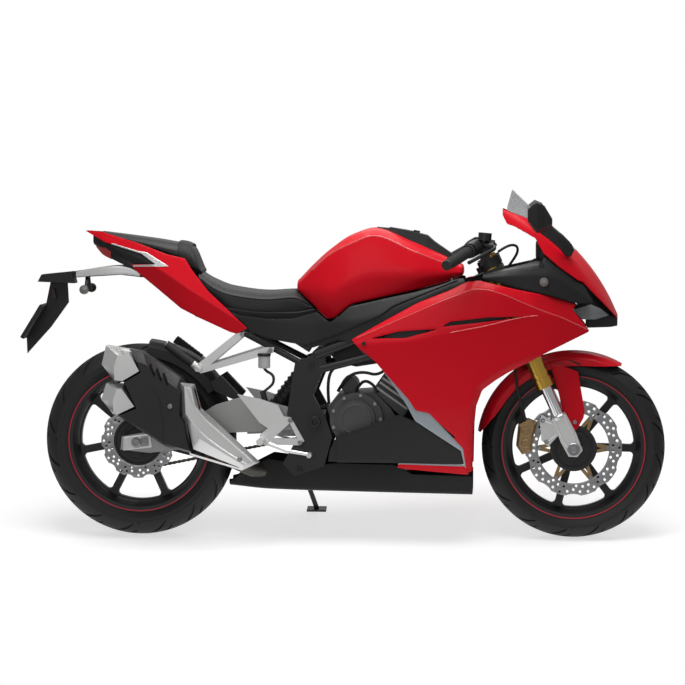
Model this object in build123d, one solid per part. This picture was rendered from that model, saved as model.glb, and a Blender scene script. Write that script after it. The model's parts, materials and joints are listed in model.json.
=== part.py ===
from build123d import *
import math
import os

# Sizes in millimetres. The bike is drawn upright: x forward from the rear axle, y to the
# bike's left from its middle plane, z up from the ground. At the end all pieces are leaned
# onto the side stand together.
WHEELBASE = 1389
BEAD_RADIUS = 218
FRONT_WALL, REAR_WALL = 74, 90
FRONT_RADIUS = BEAD_RADIUS + FRONT_WALL
REAR_RADIUS = BEAD_RADIUS + REAR_WALL
FRONT_TYRE_HALF = 55
REAR_TYRE_HALF = 70
RIM_FLANGE = BEAD_RADIUS + 13
RIM_INNER = BEAD_RADIUS - 19
RIM_INSET = 14
SPOKES = 7
SPOKE_WIDTH = 24
WEB_HALF = 13
HUB_RADIUS = 40
AXLE_RADIUS = 10
RUN_GAP = 0.3
LEAN = 10
RAKE = 24.5
FORK_OFFSET = 35
LEG_Y = 97
TUBE_RADIUS = 26
STANCHION_RADIUS = 18.5
STEM_RADIUS = 14
HEAD_LOW, HEAD_HIGH = 428, 596
SHELL = 4
DISC_THICK = 4.5
DISC_GAP = 2
FRONT_DISC, FRONT_DISC_INNER, FRONT_DISC_Y = 154, 113, -64
REAR_DISC, REAR_DISC_INNER, REAR_DISC_Y = 119, 76, -80
CHAIN_Y, CHAIN_HALF = 87, 8
SPROCKET_PITCH, PINION_PITCH = 104, 36
PINION = (655, 372)
PIVOT = (572, 378)
PIVOT_RADIUS = 17
ARM_IN, ARM_OUT = 99, 120
PLATE_IN, PLATE_OUT = 122, 140
STAND_PIVOT = (492, 162, 240)
STAND_FOOT = (548, 276)
STAND_FOOT_THICK = 6
STAND_EYE = 9
STAND_PIN = 6
CAP_CENTRE, CAP_RADIUS = (842, 982), 42

FRONT = (WHEELBASE, FRONT_RADIUS)
REAR = (0, REAR_RADIUS)
SIN, COS = math.sin(math.radians(RAKE)), math.cos(math.radians(RAKE))


def prism(outline, y0, y1):
    """Solid of an (x, z) outline between two widths."""
    face = make_face(Polyline(*[(x, y0, z) for x, z in outline], close=True))
    return extrude(face, amount=abs(y1 - y0), dir=(0, 1 if y1 > y0 else -1, 0))


def disc(centre, radius, y0, y1):
    """Round bar along y."""
    face = Plane((centre[0], y0, centre[1]), x_dir=(1, 0, 0), z_dir=(0, 1, 0)) * Circle(radius)
    return extrude(face, amount=y1 - y0, dir=(0, 1, 0))


def bar(start, end, radius):
    """Round bar between two points."""
    along = Vector(*end) - Vector(*start)
    return extrude(Plane(start, z_dir=along) * Circle(radius), amount=along.length)


def tube(points, radius, bend):
    """Bent round bar along a path."""
    path = FilletPolyline(*points, radius=bend)
    return sweep(Plane(path @ 0, z_dir=path % 0) * Circle(radius), path=path)


def rail(points, radius):
    """Round tube along a path with mitred corners."""
    path = Polyline(*points)
    return sweep(Plane(path @ 0, z_dir=path % 0) * Circle(radius), path=path, transition=Transition.RIGHT)


def blend(sections):
    """Straight-sided solid through (x, [(y, z), ...]) sections."""
    wires = [Wire.make_polygon([(x, y, z) for y, z in ring], close=True) for x, ring in sections]
    return Solid.make_loft(wires, ruled=True)


def facet(base, y0, face, y1):
    """Solid between two (x, z) outlines at two widths, with a flat facet along each edge."""
    wires = [Wire.make_polygon([(x, y, z) for x, z in outline], close=True) for outline,
             y in ((base, y0), (face, y1))]
    return Solid.make_loft(wires, ruled=True)


def both(shape):
    """The piece and its twin on the other side."""
    return [shape, mirror(shape, about=Plane.XZ)]


def fused(*shapes):
    """One solid of several."""
    whole = shapes[0]
    for shape in shapes[1:]:
        whole = whole + shape
    return whole


def largest(shape):
    """The biggest solid of a shape, without the scraps that a cut leaves."""
    return max(shape.solids(), key=lambda solid: solid.volume)


def symmetric(half):
    """Closed ring of (y, z) from a half ring that runs from the bottom to the top."""
    return half + [(-y, z) for y, z in reversed(half)]


def near_front(*points):
    """(x, z) points given from the front axle."""
    return [(FRONT[0] + x, FRONT[1] + z) for x, z in points]


def near_rear(*points):
    """(x, z) points given from the rear axle."""
    return [(REAR[0] + x, REAR[1] + z) for x, z in points]


def fork_point(forward, along, y=0):
    """Point in the fork's own frame: forward of the leg's axis, along it from the axle."""
    return (FRONT[0] - along * SIN + forward * COS, y, FRONT[1] + along * COS + forward * SIN)


def fork_prism(outline, y0, y1):
    """Prism of a (forward, along) outline."""
    points = [fork_point(f, s) for f, s in outline]
    return prism([(x, z) for x, _, z in points], y0, y1)


def fork_bar(s0, s1, radius, y, forward=0):
    """Round bar along the fork's axis."""
    return bar(fork_point(forward, s0, y), fork_point(forward, s1, y), radius)


def polar(centre, radius, degrees):
    """(x, z) at a radius and angle round a wheel's centre."""
    turn = math.radians(degrees)
    return (centre[0] + radius * math.cos(turn), centre[1] + radius * math.sin(turn))


def ring_of(centre, profile):
    """Turned piece round a wheel's axis from a closed (radius, y) profile."""
    face = make_face(Polyline(*[(centre[0] + r, y, centre[1]) for r, y in profile], close=True))
    return revolve(face, axis=Axis((centre[0], 0, centre[1]), (0, 1, 0)))


def tyre(centre, radius, half):
    """Tyre with a round crown, filled down to the rim."""
    cx, cz = centre
    shoulder = radius - 0.62 * half
    seat = BEAD_RADIUS + RUN_GAP
    bead = half - RIM_INSET - RUN_GAP
    wall = [(shoulder, half), (RIM_FLANGE + 10, half - 2), (RIM_FLANGE + 4, bead), (seat, bead)]
    rows = wall + [(r, -y) for r, y in reversed(wall)]
    points = [(cx + r, y, cz) for r, y in rows]
    lines = [Line(a, b) for a, b in zip(points, points[1:])]
    lines.append(ThreePointArc(points[-1], (cx + radius, 0, cz), points[0]))
    return revolve(make_face(lines), axis=Axis((cx, 0, cz), (0, 1, 0)))


def rim(centre, half, hub_right, hub_left, phase):
    """Cast rim: barrel, web with windows between the spokes, hub and axle bore."""
    barrel = ring_of(centre, [
        (BEAD_RADIUS, RIM_INSET - half), (BEAD_RADIUS, half - RIM_INSET), (RIM_FLANGE, half - RIM_INSET),
        (RIM_FLANGE, half - 8), (BEAD_RADIUS - 4, half - 8), (RIM_INNER, 24), (RIM_INNER, -24),
        (BEAD_RADIUS - 4, 8 - half), (RIM_FLANGE, 8 - half), (RIM_FLANGE, RIM_INSET - half)])
    web = disc(centre, RIM_INNER + 4, -WEB_HALF, WEB_HALF)
    step = 360 / SPOKES
    for spoke in range(SPOKES):
        middle = phase + step * (spoke + 0.5)
        edge_out = step / 2 - math.degrees(SPOKE_WIDTH / 2 / (RIM_INNER - 6))
        edge_in = step / 2 - math.degrees(SPOKE_WIDTH / 2 / (HUB_RADIUS + 22))
        a, b = polar(centre, HUB_RADIUS + 22, middle - edge_in), polar(centre, RIM_INNER - 6,
                                                                       middle - edge_out)
        c, d = polar(centre, RIM_INNER - 6, middle + edge_out), polar(centre, HUB_RADIUS + 22,
                                                                      middle + edge_in)
        top, low = polar(centre, RIM_INNER - 6, middle), polar(centre, HUB_RADIUS + 22, middle)
        y = WEB_HALF + 1
        p = [(q[0], -y, q[1]) for q in (a, b, top, c, d, low)]
        window = make_face([Line(p[0], p[1]), ThreePointArc(p[1], p[2], p[3]), Line(p[3], p[4]),
                            ThreePointArc(p[4], p[5], p[0])])
        window = fillet(window.vertices(), 12)
        web = web - extrude(window, amount=2 * y, dir=(0, 1, 0))
    hub = disc(centre, HUB_RADIUS, hub_right, hub_left)
    return fused(barrel, web, hub) - disc(centre, AXLE_RADIUS + RUN_GAP, hub_right - 1, hub_left + 1)


def petal_ring(centre, outer, inner, y, lobes, holes):
    """Brake disc with a wavy rim and drilled face."""
    y0, y1 = y - DISC_THICK / 2, y + DISC_THICK / 2
    ring = disc(centre, outer, y0, y1) - disc(centre, inner, y0 - 1, y1 + 1)
    for lobe in range(lobes):
        turn = 360 * lobe / lobes
        ring = ring - disc(polar(centre, outer + 13, turn), 18, y0 - 1, y1 + 1)
        for drilled in range(holes):
            at = polar(centre, (outer + inner) / 2 + (8, -8)[drilled % 2],
                       turn + 360 * (drilled + 0.5) / lobes / holes)
            ring = ring - disc(at, 4, y0 - 1, y1 + 1)
    return ring


def carrier(centre, outer, hole, y0, y1, arms):
    """Disc carrier: a ring on the hub with pairs of slender arms out to the disc."""
    body = disc(centre, hole + 15, y0, y1)
    for arm in range(arms):
        turn = 360 * arm / arms
        for lean in (-1, 1):
            foot = [polar(centre, hole + 9, turn + lean * 24), polar(centre, outer, turn + lean * 4),
                    polar(centre, outer, turn - lean * 3), polar(centre, hole + 9, turn + lean * 14)]
            body = body + prism(foot, y0, y1)
    return body - disc(centre, hole, y0 - 1, y1 + 1)


front_tyre = tyre(FRONT, FRONT_RADIUS, FRONT_TYRE_HALF)
hub_flange = disc(FRONT, HUB_RADIUS + 24, FRONT_DISC_Y + 3 + RUN_GAP, -WEB_HALF)
hub_flange = hub_flange - disc(FRONT, HUB_RADIUS - 2, FRONT_DISC_Y, 0)
front_rim = fused(rim(FRONT, FRONT_TYRE_HALF, -72, 72, 50), hub_flange)
front_disc = petal_ring(FRONT, FRONT_DISC, FRONT_DISC_INNER, FRONT_DISC_Y, 10, 2)
front_disc_carrier = carrier(FRONT, FRONT_DISC_INNER - RUN_GAP, HUB_RADIUS + RUN_GAP,
                             FRONT_DISC_Y - 3, FRONT_DISC_Y + 3, 6)

rear_tyre = tyre(REAR, REAR_RADIUS, REAR_TYRE_HALF)
rear_rim = rim(REAR, REAR_TYRE_HALF, -93, 93, -66)
rear_disc = fused(petal_ring(REAR, REAR_DISC, REAR_DISC_INNER - 3, REAR_DISC_Y, 10, 1),
                  carrier(REAR, REAR_DISC_INNER, HUB_RADIUS + RUN_GAP,
                          REAR_DISC_Y - 2, REAR_DISC_Y + 2, 5))
teeth = 41
tooth_ring = [polar(REAR, SPROCKET_PITCH - (10, 10, 6.5, 6.5)[step % 4], 360 * step / 4 / teeth)
              for step in range(4 * teeth)]
rear_sprocket = prism(tooth_ring, CHAIN_Y - 3, CHAIN_Y + 3)
for window in range(6):
    rear_sprocket = rear_sprocket - disc(polar(REAR, 70, 60 * window), 17, CHAIN_Y - 4, CHAIN_Y + 4)
rear_sprocket = rear_sprocket - disc(REAR, HUB_RADIUS + RUN_GAP, CHAIN_Y - 4, CHAIN_Y + 4)


def fork_leg(side):
    """Outer tube with its lower collar, stanchion and cast foot of one leg."""
    y = side * LEG_Y
    outer = fused(fork_bar(215, 668, TUBE_RADIUS, y), fork_bar(215, 246, TUBE_RADIUS + 3, y),
                  fork_bar(258, 270, TUBE_RADIUS + 2, y), fork_bar(667, 676, TUBE_RADIUS - 6, y))
    outer = outer - fork_bar(214, 300, STANCHION_RADIUS + RUN_GAP, y)
    stanchion = fork_bar(112, 299, STANCHION_RADIUS, y)
    foot = fork_prism([(-24, 112), (24, 112), (28, 40), (24, -14), (0, -26), (-24, -14), (-28, 40)],
                      y - side * 20, y + side * 20)
    foot = foot - disc(FRONT, AXLE_RADIUS + RUN_GAP, y - 30, y + 30)
    return outer, stanchion, foot


legs = [fork_leg(side) for side in (1, -1)]
caliper_lug = fork_prism([(-24, 108), (-24, 60), (-70, 40), (-82, 66), (-60, 128), (-46, 140)], -LEG_Y + 19,
                         -LEG_Y + 1)
fork_tubes = [leg[0] for leg in legs]
fork_stanchions = [leg[1] for leg in legs]
fork_feet = [legs[0][2], fused(legs[1][2], caliper_lug)]
axle_end = LEG_Y + 26
front_axle = disc(FRONT, AXLE_RADIUS, -axle_end, axle_end) - disc(FRONT, AXLE_RADIUS - 3.5, -axle_end - 1,
                                                                  axle_end + 1)

BACK = -FORK_OFFSET
clamp_shape = [(BACK - 32, -30), (BACK - 32, 30), (-30, LEG_Y + 38), (32, LEG_Y + 38), (36, LEG_Y),
               (10, 40),
               (10, -40), (36, -LEG_Y), (32, -LEG_Y - 38), (-30, -LEG_Y - 38)]


def clamp(s0, s1):
    """Fork clamp plate between two heights along the fork."""
    ring = [fork_point(f, s0, y) for f, y in clamp_shape]
    plate = extrude(make_face(Polyline(*ring, close=True)), amount=s1 - s0, dir=(-SIN, 0, COS))
    for side in (1, -1):
        plate = plate - fork_bar(s0 - 1, s1 + 1, TUBE_RADIUS + RUN_GAP, side * LEG_Y)
    return plate


fork_clamps = fused(clamp(388, HEAD_LOW - RUN_GAP), clamp(HEAD_HIGH + RUN_GAP, 626),
                    fork_bar(390, 645, STEM_RADIUS, 0, BACK))

BAR_IN, BAR_OUT = fork_point(12.7, 715, 118), fork_point(-119.2, 700.5, 345)


def along_bar(share, lift=0.0, ahead=0.0):
    """Point on the left bar's axis, with offsets up and forward."""
    return tuple(a + (b - a) * share + shift
                 for a, b, shift in zip(BAR_IN, BAR_OUT, (ahead, 0, lift)))


clip = fork_bar(630, 662, TUBE_RADIUS + 11, LEG_Y) - fork_bar(629, 663, TUBE_RADIUS + RUN_GAP, LEG_Y)
riser = fork_prism([(-30.6, 649), (2.9, 650), (32.4, 715), (2.6, 722)], 104, 130)
riser = riser - fork_bar(600, 720, TUBE_RADIUS + RUN_GAP, LEG_Y)
handlebar = fused(clip, riser, bar(along_bar(0.02), along_bar(0.93), 11))
grip = fused(bar(along_bar(0.42), along_bar(0.93), 17), bar(along_bar(0.93), along_bar(1), 16),
             bar(along_bar(0.40), along_bar(0.43), 22))
grip = grip - bar(along_bar(0.3), along_bar(0.93), 11 + RUN_GAP)
switch = bar(along_bar(0.22), along_bar(0.38), 24) - bar(along_bar(0.1), along_bar(0.39), 11 + RUN_GAP)
holder = bar(along_bar(0.11), along_bar(0.2), 18) - bar(along_bar(0), along_bar(0.2), 11 + RUN_GAP)
holder = fused(holder, bar(along_bar(0.16, 4, 16), along_bar(0.19, 0, 52), 11))
lever = tube([along_bar(0.19, 0, 50), along_bar(0.34, 4, 74), along_bar(0.9, 2, 58)], 6, 40)
hand_lever = fused(holder, lever)
reservoir = fused(bar(along_bar(0.16, 10, 16), along_bar(0.16, 18, 20), 9),
                  bar(along_bar(0.16, 16, 20), along_bar(0.16, 40, 22), 21))
right_lever = mirror(fused(hand_lever, reservoir), about=Plane.XZ)
handlebars = both(handlebar)
grips = both(grip)
hand_controls = [largest(shape - handlebars[0] - handlebars[1]) for shape in [hand_lever,
                                                                              right_lever] + both(switch)]

fender_ring = [(FRONT_RADIUS + 12, 0), (FRONT_RADIUS + 7, 37), (FRONT_RADIUS - 8, 61),
               (FRONT_RADIUS - 30, 64),
               (FRONT_RADIUS - 30, 67.5), (FRONT_RADIUS - 6, 65), (FRONT_RADIUS + 10.5, 40),
               (FRONT_RADIUS + 16, 0)]
FENDER_FRONT, FENDER_REAR = 60, 171


def arch(centre, half_ring, start, stop):
    """Mudguard: a half profile of (radius, y), mirrored and swept round a wheel's axis."""
    count = len(half_ring) // 2
    inner, outer = half_ring[:count], half_ring[count:]
    ring = inner + outer + [(r, -y) for r, y in reversed(outer[:-1])] + [(r, -y) for r,
                                                                         y in reversed(inner[1:])]
    turn = math.radians(start)
    points = [(centre[0] + r * math.cos(turn), y, centre[1] + r * math.sin(turn)) for r, y in ring]
    face = make_face(Polyline(*points, close=True))
    return revolve(face, axis=Axis((centre[0], 0, centre[1]), (0, -1, 0)), revolution_arc=stop - start)


fender_arch = arch(FRONT, fender_ring, FENDER_FRONT, FENDER_REAR)
fender_trim = prism(near_front((-349, -42), (-349, 128), (-279, 228), (-89, 188), (31, 253), (171, 238),
                               (171, 8)), -90, 90)
fender_trim = fender_trim - prism(near_front((-349, 38), (-269, 38), (-189, 178), (-119, 268), (-89, 408),
                                             (-349, 408)),
                                  -91, 91)
fender_leg = facet(near_front((-77, 266), (13, 244), (35, 118), (31, 96), (7, 55), (-29, 96), (-49, 178)),
                   71.8,
                   near_front((-60, 258), (4, 240), (24, 118), (22, 100), (7, 70), (-16, 100), (-36, 178)),
                   78)
fender_leg = fused(fender_leg, prism(near_front((-44, 268), (11, 253), (16, 230), (-39, 243)), 60, 73),
                   disc(fork_point(15, 95)[::2], 7, 72, LEG_Y - 20))
front_fender = fused(fender_arch - fender_trim, *both(fender_leg))

caliper_side = near_front((-182, 8), (-175, 74), (-143, 94), (-115, 82), (-127, 38), (-133, -10),
                          (-163, -20))
caliper_face = near_front((-174, 10), (-167, 68), (-143, 83), (-124, 76), (-135, 36), (-140, -4),
                          (-159, -11))
caliper_body = fused(prism(caliper_side, -84, -44), facet(caliper_side, -84, caliper_face, -92))
slot = prism(near_front((-199, -42), (-199, 108), (-89, 108), (-89, -42)),
             FRONT_DISC_Y - DISC_THICK / 2 - DISC_GAP,
             FRONT_DISC_Y + DISC_THICK / 2 + DISC_GAP)
front_caliper = caliper_body - (slot & disc(FRONT, FRONT_DISC + 6, -100, -40)) - fork_prism(
    [(-22, 140), (-22, 40), (-72, 38), (-85, 66), (-62, 130), (-46, 142)], -LEG_Y + 20, -LEG_Y)
hose_run = near_front((-151, 78), (-177, 178), (-185, 298), (-205, 358))
brake_hose = rail([(x, y, z) for (x, z), y in zip(hose_run, (-82, -82, -80, -74))], 4.5)
brake_hose = brake_hose - front_caliper - fork_clamps

PIVOT_PLATE = [(508, 566), (600, 600), (606, 560), (566, 462), (604, 392), (626, 330), (600, 236),
               (505, 204),
               (468, 244), (520, 335), (482, 400), (500, 520)]
upper_rail = [fork_point(BACK, 555, 8), (1010, 122, 762), (860, 150, 706), (700, 150, 640), (575, 131, 590)]
lower_rail = [fork_point(BACK, 470, 8), (1030, 122, 664), (880, 150, 620), (740, 150, 585), (590, 131, 545)]
head_tube = fork_bar(HEAD_LOW, HEAD_HIGH, 30, 0, BACK)
plate = prism(PIVOT_PLATE, PLATE_IN, PLATE_OUT)
truss = [rail(upper_rail, 16), rail(lower_rail, 13), bar((1010, 122, 762), (1030, 122, 664), 10),
         bar((860, 150, 706), (880, 150, 620), 10), bar((880, 150, 620), (1010, 122, 762), 10),
         bar((700, 150, 640), (740, 150, 585), 10)]
half_frame = fused(plate, *truss)

lean_turn = Rot(-LEAN, 0, 0)
upright_turn = Rot(LEAN, 0, 0)
ground = min((lean_turn * shape).bounding_box().min.Z for shape in (front_tyre, rear_tyre))
foot_at = (upright_turn * Pos(STAND_FOOT[0], STAND_FOOT[1], ground + STAND_FOOT_THICK)).position
leg_vector = foot_at - Vector(*STAND_PIVOT)
leg_length = leg_vector.length
leg_way = leg_vector.normalized()
FOLDED = Vector(-0.985, 0.14, 0.1).normalized()
stand_axis = leg_way.cross(FOLDED).normalized()
STAND_SWING = math.degrees(math.acos(leg_way.dot(FOLDED)))
stand_frame = Plane(STAND_PIVOT, x_dir=leg_way, z_dir=stand_axis)


def stand_disc(radius, z0, z1):
    """Round piece on the stand's hinge."""
    return extrude(stand_frame.offset(z0) * Circle(radius), amount=z1 - z0, dir=tuple(stand_axis))


stand_lug = fused(stand_disc(17, -52, -STAND_EYE - RUN_GAP), stand_disc(STAND_PIN, -20, STAND_EYE + 2),
                  stand_disc(11, STAND_EYE + RUN_GAP, STAND_EYE + 5))
stand_eye = stand_disc(16, -STAND_EYE, STAND_EYE)
stand_eye = stand_eye - stand_disc(STAND_PIN + RUN_GAP, -STAND_EYE - 1, STAND_EYE + 1)
leg_start = Vector(*STAND_PIVOT) + leg_way * 13
stand_leg = bar(tuple(leg_start), tuple(foot_at), 8)
foot_centre = Pos(STAND_FOOT[0], STAND_FOOT[1], ground + STAND_FOOT_THICK / 2)
foot_plate = upright_turn * foot_centre * Box(64, 46, STAND_FOOT_THICK)
stand_spur = bar(tuple(Vector(*STAND_PIVOT) + leg_way * 120),
                 tuple(Vector(*STAND_PIVOT) + leg_way * 150 + stand_axis * 34), 5)
ground_cut = upright_turn * Pos(STAND_FOOT[0], STAND_FOOT[1], ground - 20) * Box(200, 200, 40)
side_stand = fused(stand_eye, stand_leg, foot_plate, stand_spur) - ground_cut

cross_tubes = [bar((575, -131, 590), (575, 131, 590), 15), bar((560, -131, 262), (560, 131, 262), 12)]
pivot_bar = disc(PIVOT, PIVOT_RADIUS - 7, -PLATE_OUT - 6, PLATE_OUT + 6)
caps = both(disc(PIVOT, 27, PLATE_OUT - 1, PLATE_OUT + 6))
frame = fused(head_tube, *both(half_frame), *cross_tubes, pivot_bar, *caps, stand_lug)
frame = frame - fork_bar(HEAD_LOW - 1, HEAD_HIGH + 1, STEM_RADIUS + RUN_GAP, 0, BACK)

SUB_UPPER = [(556, 112, 606), (420, 96, 690), (230, 78, 752), (20, 52, 868)]
SUB_LOWER = [(530, 112, 560), (350, 90, 652), (190, 74, 716), (40, 50, 850)]
sub_half = fused(rail(SUB_UPPER, 11), rail(SUB_LOWER, 10), bar((420, 96, 690), (350, 90, 652), 8))
subframe = fused(*both(sub_half), bar((420, -96, 690), (420, 96, 690), 9),
                 bar((230, -78, 752), (230, 78, 752), 9),
                 bar((28, -52, 862), (28, 52, 862), 9))
subframe = subframe - prism(PIVOT_PLATE, PLATE_IN - RUN_GAP, 160) - prism(PIVOT_PLATE, -160,
                                                                          -PLATE_IN + RUN_GAP)
subframe = subframe - bar((575, -140, 590), (575, 140, 590), 15 + RUN_GAP)

arm_end = near_rear((130, 44), (40, 34), (-48, 18), (-52, -24), (40, -34), (130, -24))
arm_right = [(590, 396), (430, 436), (330, 452), (252, 428)] + arm_end + [(260, 338), (400, 344),
                                                                          (590, 358)]
arm_left = [(590, 396), (430, 400), (250, 392)] + arm_end + [(300, 330), (590, 358)]
swing_tube = disc(PIVOT, PIVOT_RADIUS, -ARM_OUT, ARM_OUT)
beam = prism([(352, 334), (440, 338), (440, 388), (352, 388)], -ARM_IN - 1, ARM_IN + 1)
swingarm = fused(prism(arm_left, ARM_IN, ARM_OUT), prism(arm_right, -ARM_OUT, -ARM_IN), swing_tube, beam)
swingarm = swingarm - disc(PIVOT, PIVOT_RADIUS - 7 + RUN_GAP, -130, 130)
swingarm = swingarm - disc(REAR, AXLE_RADIUS + RUN_GAP, -130, 130)
rear_axle = fused(disc(REAR, AXLE_RADIUS, -ARM_OUT - 12, ARM_OUT + 12),
                  *both(disc(REAR, 17, ARM_OUT + RUN_GAP, ARM_OUT + 10)))

SHOCK_TOP, SHOCK_LOW = (568, 0, 582), (414, 0, 378)


def on_shock(share):
    """Point on the shock's axis."""
    return tuple(a + (b - a) * share for a, b in zip(SHOCK_TOP, SHOCK_LOW))


rear_shock = fused(bar(SHOCK_TOP, SHOCK_LOW, 13), bar(on_shock(0.2), on_shock(0.8), 28),
                   bar(on_shock(0.15), on_shock(0.21), 33), bar(on_shock(0.79), on_shock(0.85), 33))
rear_shock = rear_shock - frame - swingarm
hugger_ring = [(REAR_RADIUS + r, y) for r, y in ((14, 0), (10, 45), (-8, 74), (-36, 76), (-36, 79),
                                                 (-6, 77),
                                                 (13, 48), (17.5, 0))]
rear_mudguard = arch(REAR, hugger_ring, 34, 84)
mud_stay = both(prism([(235, 500), (268, 520), (330, 455), (318, 440), (250, 470)], 75, ARM_IN + 4))
rear_mudguard = fused(rear_mudguard, *mud_stay) - swingarm

chain_run = math.hypot(PINION[0], PINION[1] - REAR[1])
tilt = math.atan2(PINION[1] - REAR[1], PINION[0])
spread = math.asin((SPROCKET_PITCH - PINION_PITCH) / chain_run)


def chain_outline(grow):
    """Closed chain loop round both sprockets, grown about its pitch line."""
    points = []
    for centre, pitch, first, last in ((REAR, SPROCKET_PITCH, 90, 270), (PINION, PINION_PITCH, -90, 90)):
        swing = math.degrees(spread)
        start, stop = (first - swing, last + swing) if pitch == SPROCKET_PITCH else (first + swing,
                                                                                     last - swing)
        for step in range(17):
            angle = start + (stop - start) * step / 16 + math.degrees(tilt)
            points.append(polar(centre, pitch + grow, angle))
    return points


chain_half = 5.2
chain_ring = prism(chain_outline(chain_half), CHAIN_Y - CHAIN_HALF, CHAIN_Y + CHAIN_HALF)
chain = chain_ring - prism(chain_outline(-chain_half), CHAIN_Y - CHAIN_HALF - 1, CHAIN_Y + CHAIN_HALF + 1)

caliper_at = near_rear((58, 76), (96, 102), (126, 64), (118, 36), (96, 22), (66, 44))
rear_caliper = prism(caliper_at, ARM_IN * -1 + RUN_GAP, -62)
gap = disc(REAR, REAR_DISC + 5, REAR_DISC_Y - DISC_THICK / 2 - DISC_GAP,
           REAR_DISC_Y + DISC_THICK / 2 + DISC_GAP)
rear_caliper = rear_caliper - gap

case_side = [(608, 420), (640, 462), (760, 470), (806, 424), (836, 380), (826, 292), (790, 246), (640, 246),
             (634, 330)]
engine_crankcase = fused(prism(case_side, -112, 72), prism([(700, 250), (700, 466), (760, 470), (806, 424),
                                                            (836, 380),
                                                            (826, 292), (790, 246)], 71, 112))
CYL_LOW, CYL_TILT = (735, 452), 35
lean_x, lean_z = math.sin(math.radians(CYL_TILT)), math.cos(math.radians(CYL_TILT))


def cylinder_point(along, across):
    """(x, z) on the tilted cylinder block."""
    return (CYL_LOW[0] + along * lean_x + across * lean_z, CYL_LOW[1] + along * lean_z - across * lean_x)


block = prism([cylinder_point(s, a) for s, a in ((30, 0), (165, 0), (165, 128), (12, 128))], -100, 100)
for fin in range(4):
    s = 52 + 16 * fin
    for side in (-1, 1):
        groove = [cylinder_point(s, -2), cylinder_point(s + 6, -2), cylinder_point(s + 6, 130),
                  cylinder_point(s, 130)]
        block = block - prism(groove, side * 92, side * 101)
cylinder_block = block - engine_crankcase
clutch = fused(disc((702, 386), 84, -134, -112 - RUN_GAP), disc((702, 386), 60, -148, -133))
generator = fused(disc((760, 372), 72, 112 + RUN_GAP, 134), disc((760, 372), 50, 133, 142))
sprocket_cover = prism([(606, 420), (660, 430), (700, 420), (700, 330), (640, 326), (610, 360)], 98, 108)
starter = disc((676, 488), 27, -64, 48) - engine_crankcase
engine_covers = [clutch, generator, sprocket_cover, starter]
airbox = prism([(598, 612), (640, 562), (700, 550), (776, 562), (798, 612), (760, 668), (640, 662)], -94,
               94)
throttles = both(bar((812, 40, 548), (764, 40, 590), 24))
intake = fused(airbox, *throttles) - cylinder_block
core = prism([(976, 352), (1008, 352), (1012, 590), (980, 590)], -150, 150)
tanks = both(prism([(970, 352), (1014, 352), (1018, 590), (974, 590)], 150, 168))
radiator = fused(core, *tanks, *both(bar((996, 140, 580), (996, 128, 652), 6))) - frame

header_y = 48
exit_at = cylinder_point(118, 128)
header = [(exit_at[0] + 1, header_y, exit_at[1] - 1), (948, header_y, 440), (926, header_y, 260),
          (860, header_y, 208), (640, 30, 204),
          (560, 0, 204)]
right_header = [(x, y - 2 * header_y if y == header_y else -y, z) for x, y, z in header]
tail_pipe = [(590, 0, 204), (470, -30, 204), (370, -120, 222), (296, -170, 262), (170, -172, 352)]
exhaust_headers = fused(rail(header, 17), rail(right_header, 17), rail(tail_pipe, 22)) - cylinder_block
MUFFLER_IN, MUFFLER_OUT = -128, -222
muffler_side = [(-35, 510), (22, 542), (-12, 610), (30, 600), (150, 522), (166, 498), (160, 400),
                (172, 384),
                (192, 278), (100, 302), (-58, 402), (8, 428)]
muffler_face = [(-24, 506), (28, 538), (14, 574), (46, 562), (140, 488), (152, 470), (148, 402), (160, 382),
                (180, 292), (102, 314), (-38, 402), (14, 424)]
muffler_back = [(x + (78 - x) * 0.09, z + (450 - z) * 0.09) for x, z in muffler_side]
FACET = MUFFLER_OUT + 38
muffler_body = fused(facet(muffler_side, MUFFLER_IN - 14, muffler_back, MUFFLER_IN),
                     prism(muffler_side, MUFFLER_IN - 14, FACET),
                     facet(muffler_side, FACET, muffler_face, MUFFLER_OUT))
for slit in range(3):
    x, z = 62 + 21 * slit, 556 - 14 * slit
    slit_side = [(x - 9, z + 4), (x - 3, z + 10), (x + 13, z - 26), (x + 7, z - 32)]
    muffler_body = muffler_body - prism(slit_side, MUFFLER_OUT - 1, MUFFLER_OUT + 22)
exhaust_headers = exhaust_headers - muffler_body
# Muffler caps: outline at the base, outline of the outer face, centre of the outlet
CAPS = [
    ([(-88, 620), (-4, 606), (30, 542), (-30, 504), (-62, 508), (-102, 560)],
     [(-46, 590), (-10, 600), (22, 542), (-32, 510), (-56, 514), (-58, 556)], (-92, 560)),
    ([(-88, 500), (-30, 497), (14, 428), (-52, 396), (-66, 402), (-104, 450)],
     [(-50, 482), (-34, 486), (6, 430), (-48, 404), (-60, 410), (-62, 448)], (-96, 452)),
]
muffler_caps = []
for cap_side, cap_face, (x, z) in CAPS:
    cap = fused(prism(cap_side, MUFFLER_IN - 8, MUFFLER_OUT + 42),
                facet(cap_side, MUFFLER_OUT + 42, cap_face, MUFFLER_OUT + 4))
    outlet = prism([(x - 24, z + 4), (x + 6, z + 28), (x + 22, z - 4), (x - 8, z - 28)], MUFFLER_OUT + 44,
                   MUFFLER_IN - 20)
    muffler_caps.append(largest(cap - outlet - muffler_body))
shield_side = [(150, 505), (195, 500), (215, 425), (400, 255), (345, 228), (180, 276), (164, 384),
               (156, 398)]
shield_face = [(166, 494), (188, 492), (203, 420), (388, 258), (356, 246), (214, 330), (182, 396),
               (170, 408)]
shield_hollow = [(x + (230 - x) * 0.08, z + (350 - z) * 0.08) for x, z in shield_side]
muffler_shield = fused(prism(shield_side, MUFFLER_OUT + 34, MUFFLER_OUT + 18),
                       facet(shield_side, MUFFLER_OUT + 18, shield_face, MUFFLER_OUT - 4))
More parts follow.
